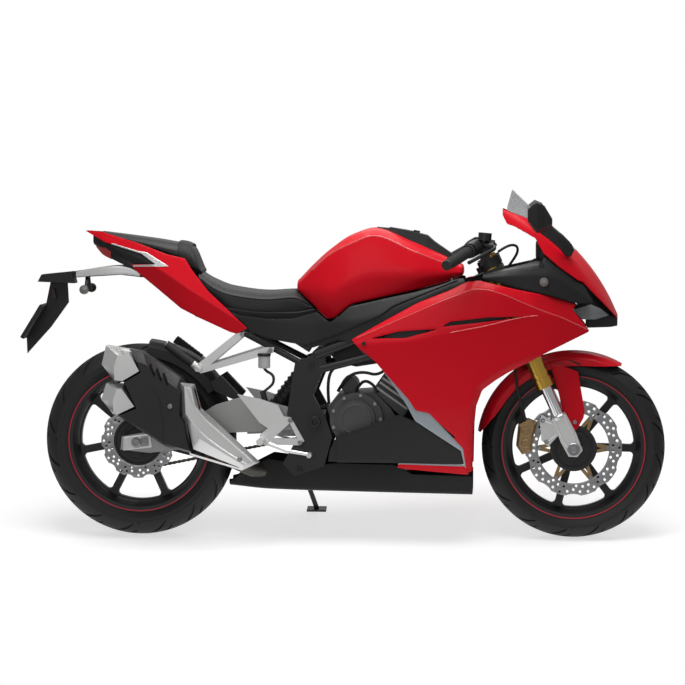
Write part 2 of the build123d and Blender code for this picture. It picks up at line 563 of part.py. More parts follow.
muffler_shield = muffler_shield - prism(shield_hollow, MUFFLER_OUT + 10, MUFFLER_OUT + 35)
muffler_shield = largest(muffler_shield - muffler_body - exhaust_headers)

# Tank: columns x, then z and half width at the low edge, the belly, the crease and the top
TANK = [
    (514, 788, 60, 794, 66, 812, 62, 826, 34),
    (560, 748, 84, 792, 96, 858, 88, 874, 46),
    (616, 702, 104, 790, 124, 908, 106, 924, 54),
    (690, 750, 122, 830, 138, 946, 118, 972, 60),
    (755, 766, 126, 848, 142, 968, 122, 990, 66),
    (880, 794, 118, 846, 136, 920, 118, 946, 66),
    (970, 816, 92, 846, 108, 884, 96, 906, 60),
    (1032, 838, 70, 848, 82, 864, 74, 874, 48),
]


def tank_ring(row):
    """Section of the tank from one table row."""
    _, low_z, low_w, belly_z, belly_w, crease_z, crease_w, top_z, top_w = row
    return symmetric([(low_w, low_z), (belly_w, belly_z), (crease_w, crease_z), (top_w, top_z)])


tank_solid = blend([(row[0], tank_ring(row)) for row in TANK])
TANK_POSTS = [((1008, 120, 762), (1000, 70, 842)), ((640, 138, 616), (640, 92, 726))]
for start, stop in TANK_POSTS:
    for post in both(bar(start, stop, 8) - tank_solid):
        frame = frame + post
# Cover on the tank's spine: columns x, low z, half width at the foot, top z, half width at the top
SPINE = [(762, 970, 42, 992, 34), (850, 946, 56, 984, 48), (922, 916, 58, 966, 44), (945, 906, 56, 946, 40),
         (1012, 866, 40, 900, 28)]
spine = blend([(x, symmetric([(foot, low), (top_w, top)])) for x, low, foot, top, top_w in SPINE])
cap_way = Vector(0.17, 0, 0.985).normalized()
cap_plane = Plane((CAP_CENTRE[0], 0, CAP_CENTRE[1]), z_dir=tuple(cap_way), x_dir=(cap_way.Z, 0, -cap_way.X))


def cap_disc(radius, z0, z1):
    """Round piece on the filler's axis."""
    return extrude(cap_plane.offset(z0) * Circle(radius), amount=z1 - z0, dir=tuple(cap_way))


fuel_tank = tank_solid - spine
tank_cover = spine - cap_disc(CAP_RADIUS + 3, -8, 60)
hinge_x = CAP_RADIUS + 8
hinge_at = cap_plane * Pos(hinge_x, 0, 3)
pin_ends = [cap_plane * Pos(hinge_x, side * 14, 3) for side in (-1, 1)]
cap_pin = bar(tuple(pin_ends[0].position), tuple(pin_ends[1].position), 2.5)
lug_box = [cap_plane * Pos(hinge_x, side * 11.5, -2) * Box(9, 5, 13) for side in (-1, 1)]
tank_cover = fused(tank_cover, cap_pin, *lug_box)
cap_lid = cap_disc(CAP_RADIUS, -7.7, 3)
cap_arm = cap_plane * Pos(CAP_RADIUS + 4, 0, 2.5) * Box(20, 16, 9)
fuel_cap = fused(cap_lid, cap_arm) - bar(tuple(pin_ends[0].position), tuple(pin_ends[1].position),
                                         2.5 + RUN_GAP)
tank_cover = tank_cover - (cap_plane * Pos(CAP_RADIUS + 9, 0, 0) * Box(22, 18, 22) - cap_pin)

# Seats: columns x, low z, low half width, edge z, edge half width, top z, top half width
RIDER = [(196, 772, 78, 836, 82, 850, 58), (232, 748, 92, 806, 104, 826, 76),
         (300, 728, 104, 778, 124, 798, 96),
         (420, 716, 104, 764, 124, 783, 92), (500, 716, 92, 770, 104, 790, 62),
         (560, 728, 78, 740, 84, 746, 50)]
PILLION = [(-118, 962, 32, 968, 36, 977, 26), (0, 930, 64, 944, 70, 960, 52),
           (100, 898, 72, 920, 80, 944, 60),
           (172, 862, 74, 900, 80, 926, 58), (204, 846, 70, 852, 74, 858, 54)]


def seat_body(table):
    """Seat from its section table."""
    return blend([(x, symmetric([(lw, lz), (ew, ez), (tw, tz)])) for x, lz, lw, ez, ew, tz, tw in table])


rider_seat = seat_body(RIDER) - tank_solid - subframe
passenger_seat = seat_body(PILLION) - subframe - rider_seat


def shell(table):
    """Side panel from rows of x and (half width, z) points from top to bottom."""
    sections = []
    for x, points in table:
        sections.append((x, points + [(w - SHELL, z) for w, z in reversed(points)]))
    return blend(sections)


def panel(skin, outline):
    """The part of a skin that lies inside an (x, z) outline."""
    return skin & prism(outline, 2, 330)


# Tail cowl: x, then half width and height at the top edge, the widest line and the lower edge
TAIL = [
    (-182, [(14, 990), (17, 976), (14, 962)]),
    (-100, [(52, 974), (66, 934), (54, 880)]),
    (60, [(90, 928), (108, 866), (84, 790)]),
    (180, [(98, 886), (124, 790), (104, 690)]),
    (370, [(112, 720), (130, 670), (122, 630)]),
]
TAIL_SIDE = [(-178, 980), (-115, 975), (0, 942), (100, 905), (155, 893), (175, 860), (230, 790), (300, 725),
             (355, 672),
             (320, 655), (300, 660), (200, 705), (140, 735), (60, 800), (0, 848), (-20, 872), (65, 874),
             (15, 908), (-108, 944)]
tail_cowls = both(panel(shell(TAIL), TAIL_SIDE) - passenger_seat - rider_seat)
TRAY = [(-150, [(10, 936), (26, 944), (26, 966)]), (-90, [(40, 890), (48, 910), (46, 950)]),
        (0, [(48, 846), (80, 870), (70, 926)]),
        (70, [(56, 800), (82, 830), (76, 890)]), (150, [(60, 740), (84, 770), (78, 850)])]
tray_outer = blend([(x, symmetric(half)) for x, half in TRAY])
tail_undertray = tray_outer - subframe - passenger_seat - rider_seat
tail_lamp = blend([(-168, symmetric([(8, 912), (12, 938)])), (-122, symmetric([(30, 898), (36, 936)])),
                   (-92, symmetric([(34, 890), (40, 930)]))]) - tail_undertray

# Side fairing skin: x, then half width and height at top lip, upper crease, lower crease, middle, foot
FAIRING = [
    (600, [(150, 700), (186, 612), (190, 600), (168, 400), (142, 200)]),
    (700, [(168, 690), (204, 646), (208, 628), (180, 400), (146, 200)]),
    (860, [(186, 768), (222, 716), (228, 637), (194, 420), (150, 200)]),
    (1010, [(198, 834), (236, 780), (240, 670), (204, 430), (150, 200)]),
    (1085, [(196, 860), (236, 804), (238, 684), (202, 430), (146, 200)]),
    (1280, [(172, 812), (202, 738), (204, 720), (184, 500), (130, 200)]),
    (1440, [(128, 780), (136, 672), (134, 660), (120, 500), (90, 200)]),
]
TRIM_EDGE = [(1052, 222), (1040, 300), (934, 412), (892, 420), (870, 455), (790, 545)]
FAIRING_SIDE = [(690, 643), (800, 705), (900, 760), (1000, 800), (1050, 825), (1090, 830), (1200, 803),
                (1300, 782),
                (1395, 752), (1380, 738), (1420, 690), (1437, 668), (1300, 603), (1250, 575), (1180, 540),
                (1140, 515),
                (1100, 485), (1080, 430), (1072, 350), (1070, 222)] + TRIM_EDGE + [(765, 575), (710, 620)]
VENTS = [[(750, 647), (860, 650), (960, 676), (860, 664)],
         [(975, 686), (1250, 718), (1120, 716), (1000, 702)],
         [(940, 402), (1020, 332), (1000, 334), (935, 392)]]
skin = shell(FAIRING)
fairing = panel(skin, FAIRING_SIDE)
for vent in VENTS:
    fairing = fairing - prism(vent, 100, 330)
TRIM_SIDE = TRIM_EDGE[::-1] + [(1060, 218), (836, 243), (836, 250), (1044, 246), (1034, 291), (890, 387),
                               (862, 440)]
LOWER_SIDE = [(838, 405), (889, 385), (1033, 290), (1043, 247), (820, 250), (640, 250), (640, 335),
              (660, 340), (720, 360)]
side_fairings = both(fairing)
TABS = [((866, 148, 700), (866, 250, 690)), ((1010, 122, 750), (1016, 250, 730)),
        ((740, 150, 600), (760, 250, 618))]
for start, stop in TABS:
    for tab in both(largest(bar(start, stop, 6) - fairing)):
        frame = frame + tab
fairing_trims = both(panel(skin, TRIM_SIDE))
lower_fairings = both(panel(skin, LOWER_SIDE) - fairing_trims[0])

# Belly pan: x, floor z, floor half width, rim half width
PAN = [(292, 168, 52, 66), (420, 160, 92, 116), (700, 154, 104, 140), (1068, 146, 96, 138)]
PAN_SIDE = [(288, 172), (290, 160), (1070, 140), (1070, 208), (880, 214), (822, 243), (640, 247),
            (560, 236), (420, 256), (340, 216)]


def pan(inset):
    """Trough of the belly pan, inset by a wall."""
    return blend([(x, symmetric([(floor_w - inset, floor + inset), (rim_w - inset, 270)])) for x, floor,
                  floor_w, rim_w in PAN])


belly_pan = (pan(0) - pan(SHELL)) & prism(PAN_SIDE, -200, 200)
belly_pan = belly_pan - frame - stand_disc(26, -70, 30) - exhaust_headers - bar((470, 60, 225),
                                                                                (470, 300, 225), 40)

# Nose skin: x, then half width and height at the lower edge, shoulder and crown, and the crown's half width
NOSE = [
    (1155, 138, 1006, 126, 1056, 60, 1122), (1270, 160, 930, 140, 990, 56, 1036),
    (1385, 150, 820, 124, 884, 44, 928),
    (1450, 128, 745, 96, 806, 32, 852), (1500, 88, 715, 60, 748, 20, 772),
    (1528, 34, 700, 26, 706, 14, 714)]


def nose_ring(row, inset):
    """Section of the nose, inset by a wall."""
    _, low_w, low_z, mid_w, mid_z, top_w, top_z = row
    return [(low_w - inset, low_z), (mid_w - inset, mid_z - inset / 2), (top_w, top_z - inset),
            (-top_w, top_z - inset), (inset - mid_w, mid_z - inset / 2), (inset - low_w, low_z)]


def nose_shell(wall):
    """Bent skin of the nose."""
    sections = []
    for row in NOSE:
        sections.append((row[0], nose_ring(row, 0) + list(reversed(nose_ring(row, wall)))))
    return blend(sections)


SCREEN_EDGE = [(1162, 1052), (1243, 1020), (1275, 1002), (1330, 964), (1392, 914)]
NOSE_SIDE = SCREEN_EDGE + [(1420, 912), (1460, 860), (1500, 800), (1532, 720), (1525, 706),
             (1488, 748), (1415, 822), (1400, 828), (1340, 870), (1290, 913), (1265, 960), (1200, 996),
             (1175, 1005), (1162, 1032)]
SCREEN_SIDE = [(1176, 1062), (1188, 1102), (1260, 1060), (1420, 935),
               (1420, 912)] + SCREEN_EDGE[:0:-1] + [(1176, 1046)]
nose_cowl = nose_shell(SHELL) & prism(NOSE_SIDE, -250, 250)
windscreen = (nose_shell(3) & prism(SCREEN_SIDE, -250, 250)) - nose_cowl

COCKPIT = [
    (1095, [(168, 856), (190, 838), (186, 812)]),
    (1290, [(146, 916), (176, 845), (186, 770)]),
    (1460, [(112, 770), (126, 752), (126, 740)]),
]
COCKPIT_SIDE = [(1100, 842), (1150, 853), (1285, 878), (1292, 908), (1340, 866), (1400, 823), (1414, 818),
                (1448, 757), (1400, 756),
                (1300, 786), (1200, 807), (1100, 834)]
cockpit_panels = both(panel(shell(COCKPIT), COCKPIT_SIDE))
LAMP_SIDE = [(1384, 735), (1440, 751), (1470, 738), (1500, 714), (1455, 703), (1412, 704)]
headlamp = blend([(1384, [(128, 690), (128, 760), (70, 760), (70, 690)]),
                  (1450, [(104, 690), (104, 760), (40, 760), (40, 690)]),
                  (1502, [(52, 690), (52, 760), (14, 760), (14, 690)])])
headlamps = both(headlamp & prism(LAMP_SIDE, 2, 200))
CHIN = [(1430, [(92, 676), (92, 708)]), (1500, [(50, 676), (50, 716)]), (1526, [(30, 679), (30, 708)])]
nose_chin = blend([(x, symmetric(half)) for x, half in CHIN])
nose_chin = largest(nose_chin - headlamps[0] - headlamps[1] - nose_cowl)

mirror_head = blend([(1240, [(262, 1012), (352, 1022), (352, 1056), (262, 1050)]),
                     (1266, [(256, 978), (362, 990), (362, 1076), (256, 1064)]),
                     (1290, [(262, 980), (356, 996), (356, 1066), (262, 1050)]),
                     (1316, [(280, 1000), (330, 1006), (330, 1026), (280, 1020)])])
mirror_stalk = tube([(1290, 262, 996), (1330, 210, 962), (1362, 140, 926)], 8, 20)
mirror_foot = blend([(1345, [(124, 905), (146, 896), (152, 930), (130, 940)]),
                     (1385, [(112, 890), (136, 880), (140, 908), (118, 918)])])
mirrors = both(largest(fused(mirror_head, mirror_stalk, mirror_foot) - nose_cowl - windscreen))
instrument_panel = blend([(1268, symmetric([(66, 892), (76, 898), (76, 938), (66, 944)])),
                          (1298, symmetric([(66, 888), (76, 894), (76, 952), (66, 958)])),
                          (1322, symmetric([(40, 886), (50, 892), (50, 934), (40, 940)]))])
head_top, head_mid = fork_point(BACK + 16, 552), fork_point(BACK + 19, 498)
STAY_SIDE = [head_mid[::2], head_top[::2], (1262, 892), (1292, 892), (1302, 866),
             (head_mid[0] + 22, head_mid[2] + 2)]
stay_bars = [bar((1284, 0, 878), (1284, 168, 878), 8), bar((1284, 128, 878), (1296, 156, 944), 7),
             bar((1284, 60, 878), (1400, 84, 730), 7)]
stay_half = fused(*stay_bars) - cockpit_panels[0] - nose_cowl - headlamps[0] - mirrors[0]
fairing_stay = largest(fused(prism(STAY_SIDE, -15, 15), *both(stay_half)) - frame - instrument_panel)

COVERS = [
    (300, [(112, 742), (122, 716), (112, 640)]),
    (545, [(122, 790), (138, 690), (142, 600)]),
    (700, [(142, 770), (170, 700), (172, 620)]),
    (900, [(148, 812), (176, 770), (180, 700)]),
    (1035, [(110, 850), (136, 830), (150, 790)]),
]
COVER_SIDE = [(356, 668), (302, 724), (330, 714), (420, 703), (500, 704), (576, 726), (618, 694),
              (640, 706), (682, 744), (800, 771), (890, 791),
              (1026, 830), (935, 795), (820, 748), (780, 718), (650, 660), (540, 620), (420, 640)]
side_covers = both(panel(shell(COVERS), COVER_SIDE) - rider_seat - tank_solid)

bracket = blend([(-215, symmetric([(26, 828), (26, 848)])), (-60, symmetric([(40, 838), (40, 866)])),
                 (12, symmetric([(40, 830), (40, 846)]))])
lamp_unit = prism([(-330, 815), (-318, 838), (-220, 848), (-210, 810)], -32, 32)
flap = prism([(-308, 742), (-372, 636), (-370, 582), (-292, 668), (-234, 748), (-238, 822), (-292, 818)],
             -3, 3)
plate_side = [(-314, 744), (-378, 640), (-368, 634), (-304, 738)]
plate = prism(plate_side, -90, 90)
reflector = prism([(-284, 792), (-278, 760), (-272, 760), (-278, 792)], -22, 22)
plate_holder = fused(bracket, lamp_unit, flap, plate, reflector) - tail_undertray
signal = [((-172, 40, 792), (-172, 96, 792)), ((1298, 180, 822), (1290, 232, 826))]
lamps = []
for start, stop in signal:
    middle = tuple(a + (b - a) * 0.45 for a, b in zip(start, stop))
    lamps += both(fused(bar(start, stop, 6), bar(middle, stop, 15)))
turn_signals = [lamp - plate_holder - cockpit_panels[0] - cockpit_panels[1] for lamp in lamps]
plate_holder = fused(plate_holder, *both(bar((-172, 10, 834), (-172, 40, 790),
                                             6))) - turn_signals[0] - turn_signals[1]

hanger = prism([(496, 392), (538, 318), (522, 304), (404, 306), (396, 336), (470, 396)],
               PLATE_OUT + RUN_GAP, PLATE_OUT + 12)
hanger = hanger - prism([(492, 374), (516, 326), (440, 326)], PLATE_OUT - 1, PLATE_OUT + 20)
heel = prism([(325, 465), (400, 450), (455, 430), (474, 392), (430, 352), (395, 375)], PLATE_OUT + 2,
             PLATE_OUT + 7)
peg = fused(bar((404, PLATE_OUT + 4, 318), (404, PLATE_OUT + 98, 322), 11),
            bar((404, PLATE_OUT + 8, 306), (404, PLATE_OUT + 8, 322), 13))
pedal = tube([(418, PLATE_OUT + 20, 312), (480, PLATE_OUT + 22, 288), (560, PLATE_OUT + 30, 276)], 6, 30)
toe = bar((556, PLATE_OUT + 18, 276), (556, PLATE_OUT + 58, 276), 8)
pedal_boss = bar((418, PLATE_OUT + 4, 312), (418, PLATE_OUT + 26, 312), 9)
foot_controls = [fused(hanger, heel, peg, pedal_boss, pedal, toe)]
foot_controls = both(foot_controls[0])
v_bracket = [(346, 660), (334, 640), (236, 556), (412, 612), (440, 612), (436, 594), (206, 528), (188, 540),
             (198, 560), (318, 656)]
passenger_hanger = prism(v_bracket, 104, 114)
folded_peg = bar((196, 118, 548), (96, 126, 622), 13)
peg_boss = bar((198, 106, 546), (198, 130, 546), 12)
passenger_hangers = both(fused(passenger_hanger, folded_peg, peg_boss) - subframe)

cup = fused(bar((410, -136, 548), (410, -136, 588), 19), bar((410, -136, 586), (410, -136, 594), 21))
cup_tab = prism([(404, 584), (430, 584), (438, 608), (414, 610)], -126, -114 - RUN_GAP)
master = bar((404, -132.6, 474), (418, -132.6, 424), 9)
cup_hose = rail([(410, -136, 550), (438, -136, 524), (434, -134, 486), (405, -132.6, 470)], 4.5)
brake_reservoir = fused(cup, cup_tab, cup_hose, master)

NODES = {
    "frame": [frame], "subframe": [subframe], "engine": [fused(engine_crankcase, cylinder_block)],
    "engine_covers": engine_covers, "intake": [intake], "radiator": [radiator],
    "exhaust_headers": [exhaust_headers], "muffler_body": [muffler_body],
    "muffler_trims": muffler_caps + [muffler_shield], "swingarm": [swingarm], "rear_axle": [rear_axle],
    "rear_shock": [rear_shock], "rear_mudguard": [rear_mudguard], "chain": [chain],
    "rear_caliper": [rear_caliper], "brake_reservoir": [brake_reservoir],
    "fuel_tank": [fuel_tank], "tank_cover": [tank_cover], "seats": [rider_seat, passenger_seat],
    "tail_cowls": tail_cowls, "tail_undertray": [tail_undertray], "side_covers": side_covers,
    "side_fairings": side_fairings, "fairing_trims": fairing_trims, "lower_fairings": lower_fairings,
    "belly_pan": [belly_pan],
    "nose_cowl": [nose_cowl], "cockpit_panels": cockpit_panels + [nose_chin], "windscreen": [windscreen],
    "lamps": headlamps + [tail_lamp] + turn_signals,
    "mirrors": mirrors, "instrument_panel": [instrument_panel], "plate_holder": [plate_holder],
    "fairing_stay": [fairing_stay], "foot_controls": foot_controls, "passenger_hangers": passenger_hangers,
    "fork_clamps": [fork_clamps], "fork_tubes": fork_tubes, "fork_stanchions": fork_stanchions,
    "fork_feet": fork_feet,
    "front_axle": [front_axle], "handlebars": handlebars, "grips": grips, "hand_controls": hand_controls,
    "front_fender": [front_fender], "front_caliper": [front_caliper], "brake_hose": [brake_hose],
    "front_tyre": [front_tyre], "front_rim": [front_rim], "front_disc": [front_disc],
    "front_disc_carrier": [front_disc_carrier],
    "rear_tyre": [rear_tyre], "rear_rim": [rear_rim], "rear_disc": [rear_disc],
    "rear_sprocket": [rear_sprocket],
    "side_stand": [side_stand], "fuel_cap": [fuel_cap],
}

leaned = {name: Compound([solid for shape in shapes for solid in (lean_turn * shape).solids()]) for name,
          shapes in NODES.items()}
boxes = [shape.bounding_box() for shape in leaned.values()]
low = [min(getattr(box.min, axis) for box in boxes) for axis in "XYZ"]
high = [max(getattr(box.max, axis) for box in boxes) for axis in "XYZ"]
shift = Pos(-(low[0] + high[0]) / 2, -(low[1] + high[1]) / 2, -low[2])
PLACE = shift * lean_turn

os.makedirs("parts", exist_ok=True)
for name, shape in leaned.items():
    export_step(shift * shape, f"parts/{name}.step")
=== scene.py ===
import json
from math import asin, atan, atan2, ceil, cos, hypot, pi, radians, sin

import bmesh
import bpy
from mathutils import Matrix, Vector
from mathutils.geometry import delaunay_2d_cdt
from mathutils.kdtree import KDTree


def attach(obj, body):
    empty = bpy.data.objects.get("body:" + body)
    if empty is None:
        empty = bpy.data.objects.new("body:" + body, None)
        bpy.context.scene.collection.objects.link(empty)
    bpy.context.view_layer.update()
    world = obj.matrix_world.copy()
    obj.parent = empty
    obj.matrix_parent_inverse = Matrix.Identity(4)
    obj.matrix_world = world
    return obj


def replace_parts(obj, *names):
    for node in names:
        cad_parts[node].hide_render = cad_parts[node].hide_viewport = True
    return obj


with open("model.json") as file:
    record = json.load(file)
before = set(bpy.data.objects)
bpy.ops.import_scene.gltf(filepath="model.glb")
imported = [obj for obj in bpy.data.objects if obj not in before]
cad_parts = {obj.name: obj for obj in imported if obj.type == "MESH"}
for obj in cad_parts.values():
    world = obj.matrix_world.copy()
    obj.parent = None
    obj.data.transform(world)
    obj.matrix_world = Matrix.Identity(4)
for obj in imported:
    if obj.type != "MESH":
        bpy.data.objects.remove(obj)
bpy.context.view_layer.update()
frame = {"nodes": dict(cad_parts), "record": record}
scene = bpy.context.scene
scene.view_settings.view_transform = "Standard"

# Bike frame: millimetres, x forward from the rear axle, y to the left, z up from the ground,
# upright. BIKE takes it to the row frame, where the bike leans on its stand.
REAR, FRONT = (0, 308), (1389, 292)
RAKE = radians(24.5)
LEG_Y = 97
joints = {joint["name"]: joint for joint in frame["record"]["behaviour"]["joints"]}
spin = joints["rear_wheel_spin"]
lean = atan2(-spin["axis"][2], spin["axis"][1])
upright = Matrix.Rotation(-lean, 4, "X")
foot = Vector(spin["pos_m"]) - upright @ Vector((0, 0, REAR[1] / 1000))
BIKE = Matrix.Translation(foot) @ upright @ Matrix.Scale(0.001, 4)


def place(x, y, z):
    """Bike point in the row frame."""
    return BIKE @ Vector((x, y, z))


# Materials

def feed(tree, made, inputs):
    """Sets a node's inputs to values, or links them to other nodes' outputs."""
    for key, source in inputs.items():
        if isinstance(source, bpy.types.NodeSocket):
            tree.links.new(source, made.inputs[key])
        else:
            made.inputs[key].default_value = source


def add_node(tree, kind, inputs, out=0, **settings):
    """New shader node; gives one of its outputs."""
    made = tree.nodes.new("ShaderNode" + kind)
    for name, value in settings.items():
        setattr(made, name, value)
    feed(tree, made, inputs)
    return made.outputs[out]


def finish(name, slot, colour, rough, metal=0.0, coat=0.0, grain=400.0, bump=0.05, spread=0.12, depth=0.0006,
           **sockets):
    """Procedural surface: colour and gloss vary with a fine grain and slow patches, with a small relief."""
    material = bpy.data.materials.new(name)
    material.use_nodes = True
    tree = material.node_tree
    where = add_node(tree, "TexCoord", {}, "Object")
    fine = add_node(tree, "TexNoise", {"Vector": where, "Scale": grain, "Detail": 3}, "Fac")
    slow = add_node(tree, "TexNoise", {"Vector": where, "Scale": 6}, "Fac")
    half = add_node(tree, "Math", {0: slow, 1: 0.5}, operation="MULTIPLY")
    both = add_node(tree, "Math", {0: fine, 1: 0.5, 2: half}, operation="MULTIPLY_ADD")
    ramp = tree.nodes.new("ShaderNodeValToRGB")
    for end, shade in zip(ramp.color_ramp.elements, (1 - spread, 1 + spread)):
        end.color = (*(min(1, c * shade) for c in colour), 1)
    feed(tree, ramp, {"Fac": both})
    gloss = {"Value": slow, "To Min": max(0.02, rough - 0.06), "To Max": rough + 0.06}
    relief = {"Strength": bump, "Distance": depth, "Height": fine}
    feed(tree, tree.nodes["Principled BSDF"], {
        "Metallic": metal, "Coat Weight": coat, "Coat Roughness": 0.04, "Base Color": ramp.outputs["Color"],
        "Roughness": add_node(tree, "MapRange", gloss, "Result"),
        "Normal": add_node(tree, "Bump", relief, "Normal"),
        **{socket.replace("_", " "): value for socket, value in sockets.items()}})
    return material


# Each with its slot, colour and roughness
RED = finish("red_paint", "red_paint", (0.66, 0.005, 0.016), 0.33, coat=0.05, grain=900, bump=0.015,
             spread=0.06, Specular_IOR_Level=0.14)
# lighter red for the crease beads: a painted highlight of the crease lines
PAINTED_HIGHLIGHT_RED = finish("red_painted_highlight", "red_paint", (0.8, 0.06, 0.07), 0.18, coat=1.0, grain=900, bump=0.01, spread=0.05)
STRIPE = finish("red_stripe", "red_paint", (0.42, 0.012, 0.03), 0.4, grain=800)
# lighter grey for the cockpit panels' top shelves: painted light falling on their upper faces
LIT_TOP_GREY = finish("grey_painted_top_light", "black_plastic", (0.06, 0.06, 0.06), 0.4, grain=1200, bump=0.2, spread=0.2)
BLACK = finish("black_plastic", "black_plastic", (0.0105, 0.0105, 0.0105), 0.48, grain=1400, bump=0.25,
               spread=0.25, Specular_IOR_Level=0.32)
# darker black for the belly pan: painted shade of its low place under the bike
SHADED_BLACK = finish("black_plastic_painted_shade", "black_plastic", (0.0045, 0.0045, 0.0045), 0.5, grain=1400,
                    bump=0.25, spread=0.25, Specular_IOR_Level=0.22)
BLACK_METAL = finish("black_metal", "black_metal", (0.016, 0.016, 0.017), 0.38, metal=0.3, grain=700,
                     bump=0.12, spread=0.3)
GREY = finish("grey_metal", "grey_metal", (0.33, 0.33, 0.325), 0.42, metal=0.75, grain=500, bump=0.2,
              spread=0.18)
ENGINE = finish("engine_metal", "black_metal", (0.075, 0.075, 0.074), 0.45, metal=0.6, grain=450, bump=0.25,
                spread=0.25)
SILVER = finish("silver_metal", "silver_metal", (0.7, 0.7, 0.695), 0.33, metal=0.8, grain=900, bump=0.06,
                spread=0.06)
BLUE_GREY = finish("trim_grey", "silver_metal", (0.3, 0.34, 0.37), 0.35, metal=0.4, coat=0.3, grain=900,
                   bump=0.03)
CHROME = finish("chrome", "silver_metal", (0.72, 0.72, 0.74), 0.12, metal=1, grain=300, bump=0.02,
                spread=0.05)
PLATE = finish("blank_plate", "silver_metal", (0.6, 0.6, 0.58), 0.45, grain=600, spread=0.04)
GOLD = finish("gold_metal", "gold_metal", (0.62, 0.38, 0.07), 0.26, metal=1, grain=600, spread=0.1)
BRONZE = finish("bronze_metal", "gold_metal", (0.3, 0.2, 0.1), 0.4, metal=0.85, grain=500, bump=0.15,
                spread=0.15)
STEEL = finish("steel", "steel", (0.33, 0.33, 0.34), 0.3, metal=0.95, grain=260, bump=0.12)
DARK_STEEL = finish("dark_steel", "steel", (0.07, 0.066, 0.06), 0.36, metal=0.9, grain=300, bump=0.12,
                    spread=0.25)
CHAIN = finish("chain_steel", "steel", (0.12, 0.115, 0.1), 0.38, metal=0.9, grain=500, bump=0.1, spread=0.2)
RUBBER = finish("rubber", "rubber", (0.014, 0.014, 0.014), 0.68, grain=1200, bump=0.3, spread=0.25)
TYRE = finish("tyre", "tyre", (0.011, 0.011, 0.011), 0.6, grain=800, bump=0.25, spread=0.3,
              Specular_IOR_Level=0.35)
SEAT = finish("seat_cover", "seat_cover", (0.017, 0.017, 0.017), 0.55, grain=650, bump=0.6, spread=0.3,
              depth=0.0008)
SCREEN = finish("screen", "screen", (0.3, 0.31, 0.32), 0.06, grain=300, bump=0.0, spread=0.05, Alpha=0.45,
                IOR=1.49)
DIAL = finish("dial", "screen", (0.012, 0.014, 0.016), 0.12, grain=300, bump=0.0, coat=0.6)
GLASS = finish("mirror_glass", "screen", (0.8, 0.82, 0.84), 0.05, metal=1, grain=200, bump=0.0, spread=0.03)
LENS = finish("lamp_lens", "lamp_lens", (0.6, 0.63, 0.65), 0.06, grain=300, bump=0.0, spread=0.05, coat=0.5,
              Alpha=0.35)
SMOKE = finish("smoked_lens", "lamp_lens", (0.16, 0.15, 0.14), 0.12, grain=500, bump=0.02, coat=0.5)
RED_LENS = finish("red_lens", "lamp_lens", (0.5, 0.005, 0.01), 0.1, grain=500, coat=0.6)
CUP = finish("cup_plastic", "grey_metal", (0.42, 0.43, 0.42), 0.3, grain=500, coat=0.2)


# Curves and points

def spaced(first, last, count):
    """Evenly spaced values from the first to the last."""
    return [first + (last - first) * k / count for k in range(count + 1)]


def around(centre, radius, turn):
    """(x, z) at a radius and an angle from a middle."""
    return centre[0] + radius * cos(turn), centre[1] + radius * sin(turn)


def pchip(xs, ys):
    """Smooth curve through points that doesn't overshoot, as a function of x."""
    h = [b - a for a, b in zip(xs, xs[1:])]
    d = [(b - a) / w for a, b, w in zip(ys, ys[1:], h)]
    m = [d[0]]
    for i in range(1, len(d)):
        if d[i - 1] * d[i] <= 0:
            m.append(0.0)
        else:
            w1, w2 = 2 * h[i] + h[i - 1], h[i] + 2 * h[i - 1]
            m.append((w1 + w2) / (w1 / d[i - 1] + w2 / d[i]))
    m.append(d[-1])

    def at(x):
        x = min(max(x, xs[0]), xs[-1])
        i = 0
        while i < len(h) - 1 and x > xs[i + 1]:
            i += 1
        t = (x - xs[i]) / h[i]
        return ((1 + 2 * t) * (1 - t) ** 2 * ys[i] + t * (1 - t) ** 2 * h[i] * m[i]
                + t * t * (3 - 2 * t) * ys[i + 1] + t * t * (t - 1) * h[i] * m[i + 1])

    return at


def straight(table):
    """Height along an edge given by points."""
    def at(x):
        for (ax, az), (bx, bz) in zip(table, table[1:]):
            if x <= bx:
                return az + (bz - az) * (max(x, ax) - ax) / (bx - ax)
        return table[-1][1]

    return at


def sections(rows):
    """Function from x to the section's points, smooth along x, from (x, [(a, b), ...]) rows."""
    xs = [row[0] for row in rows]
    curves = [[pchip(xs, [row[1][i][k] for row in rows]) for k in (0, 1)] for i in range(len(rows[0][1]))]
    return lambda x: [(a(x), b(x)) for a, b in curves]


def corner_rounded(points, radii, steps, closed=True):
    """Polyline with each corner turned into a short curve of a set number of points."""
    out = []
    count = len(points)
    for i, point in enumerate(points):
        here = Vector(point)
        if not closed and i in (0, count - 1):
            out.append(here)
            continue
        radius = radii[i] if isinstance(radii, (list, tuple)) else radii
        ends = []
        for other in (points[i - 1], points[(i + 1) % count]):
            way = Vector(other) - here
            ends.append(here + way.normalized() * min(radius,
                                                      way.length * 0.45) if way.length > 1e-6 else here)
        for step in range(steps + 1):
            t = step / steps
            out.append(ends[0] * (1 - t) ** 2 + here * 2 * t * (1 - t) + ends[1] * t * t)
    return out


def resampled(points, step, closed=True):
    """Points along a polyline no further apart than a step."""
    out = []
    for a, b in zip(points, points[1:] + points[:1] if closed else points[1:]):
        a, b = Vector(a), Vector(b)
        parts = max(1, ceil((b - a).length / step))
        out += [a.lerp(b, k / parts) for k in range(parts)]
    return out if closed else out + [Vector(points[-1])]


def inside(x, z, ring):
    """Whether a point lies inside a closed outline."""
    odd = False
    for (ax, az), (bx, bz) in zip(ring, ring[1:] + ring[:1]):
        if (az > z) != (bz > z) and x < (bx - ax) * (z - az) / (bz - az) + ax:
            odd = not odd
    return odd


def clipped(lines, ring):
    """The parts of lines inside an outline."""
    parts = []
    for line in lines:
        run = []
        for point in line:
            if inside(point[0], point[1], ring):
                run.append(point)
            elif run:
                parts.append(run)
                run = []
        parts.append(run)
    return [run for run in parts if len(run) > 1]


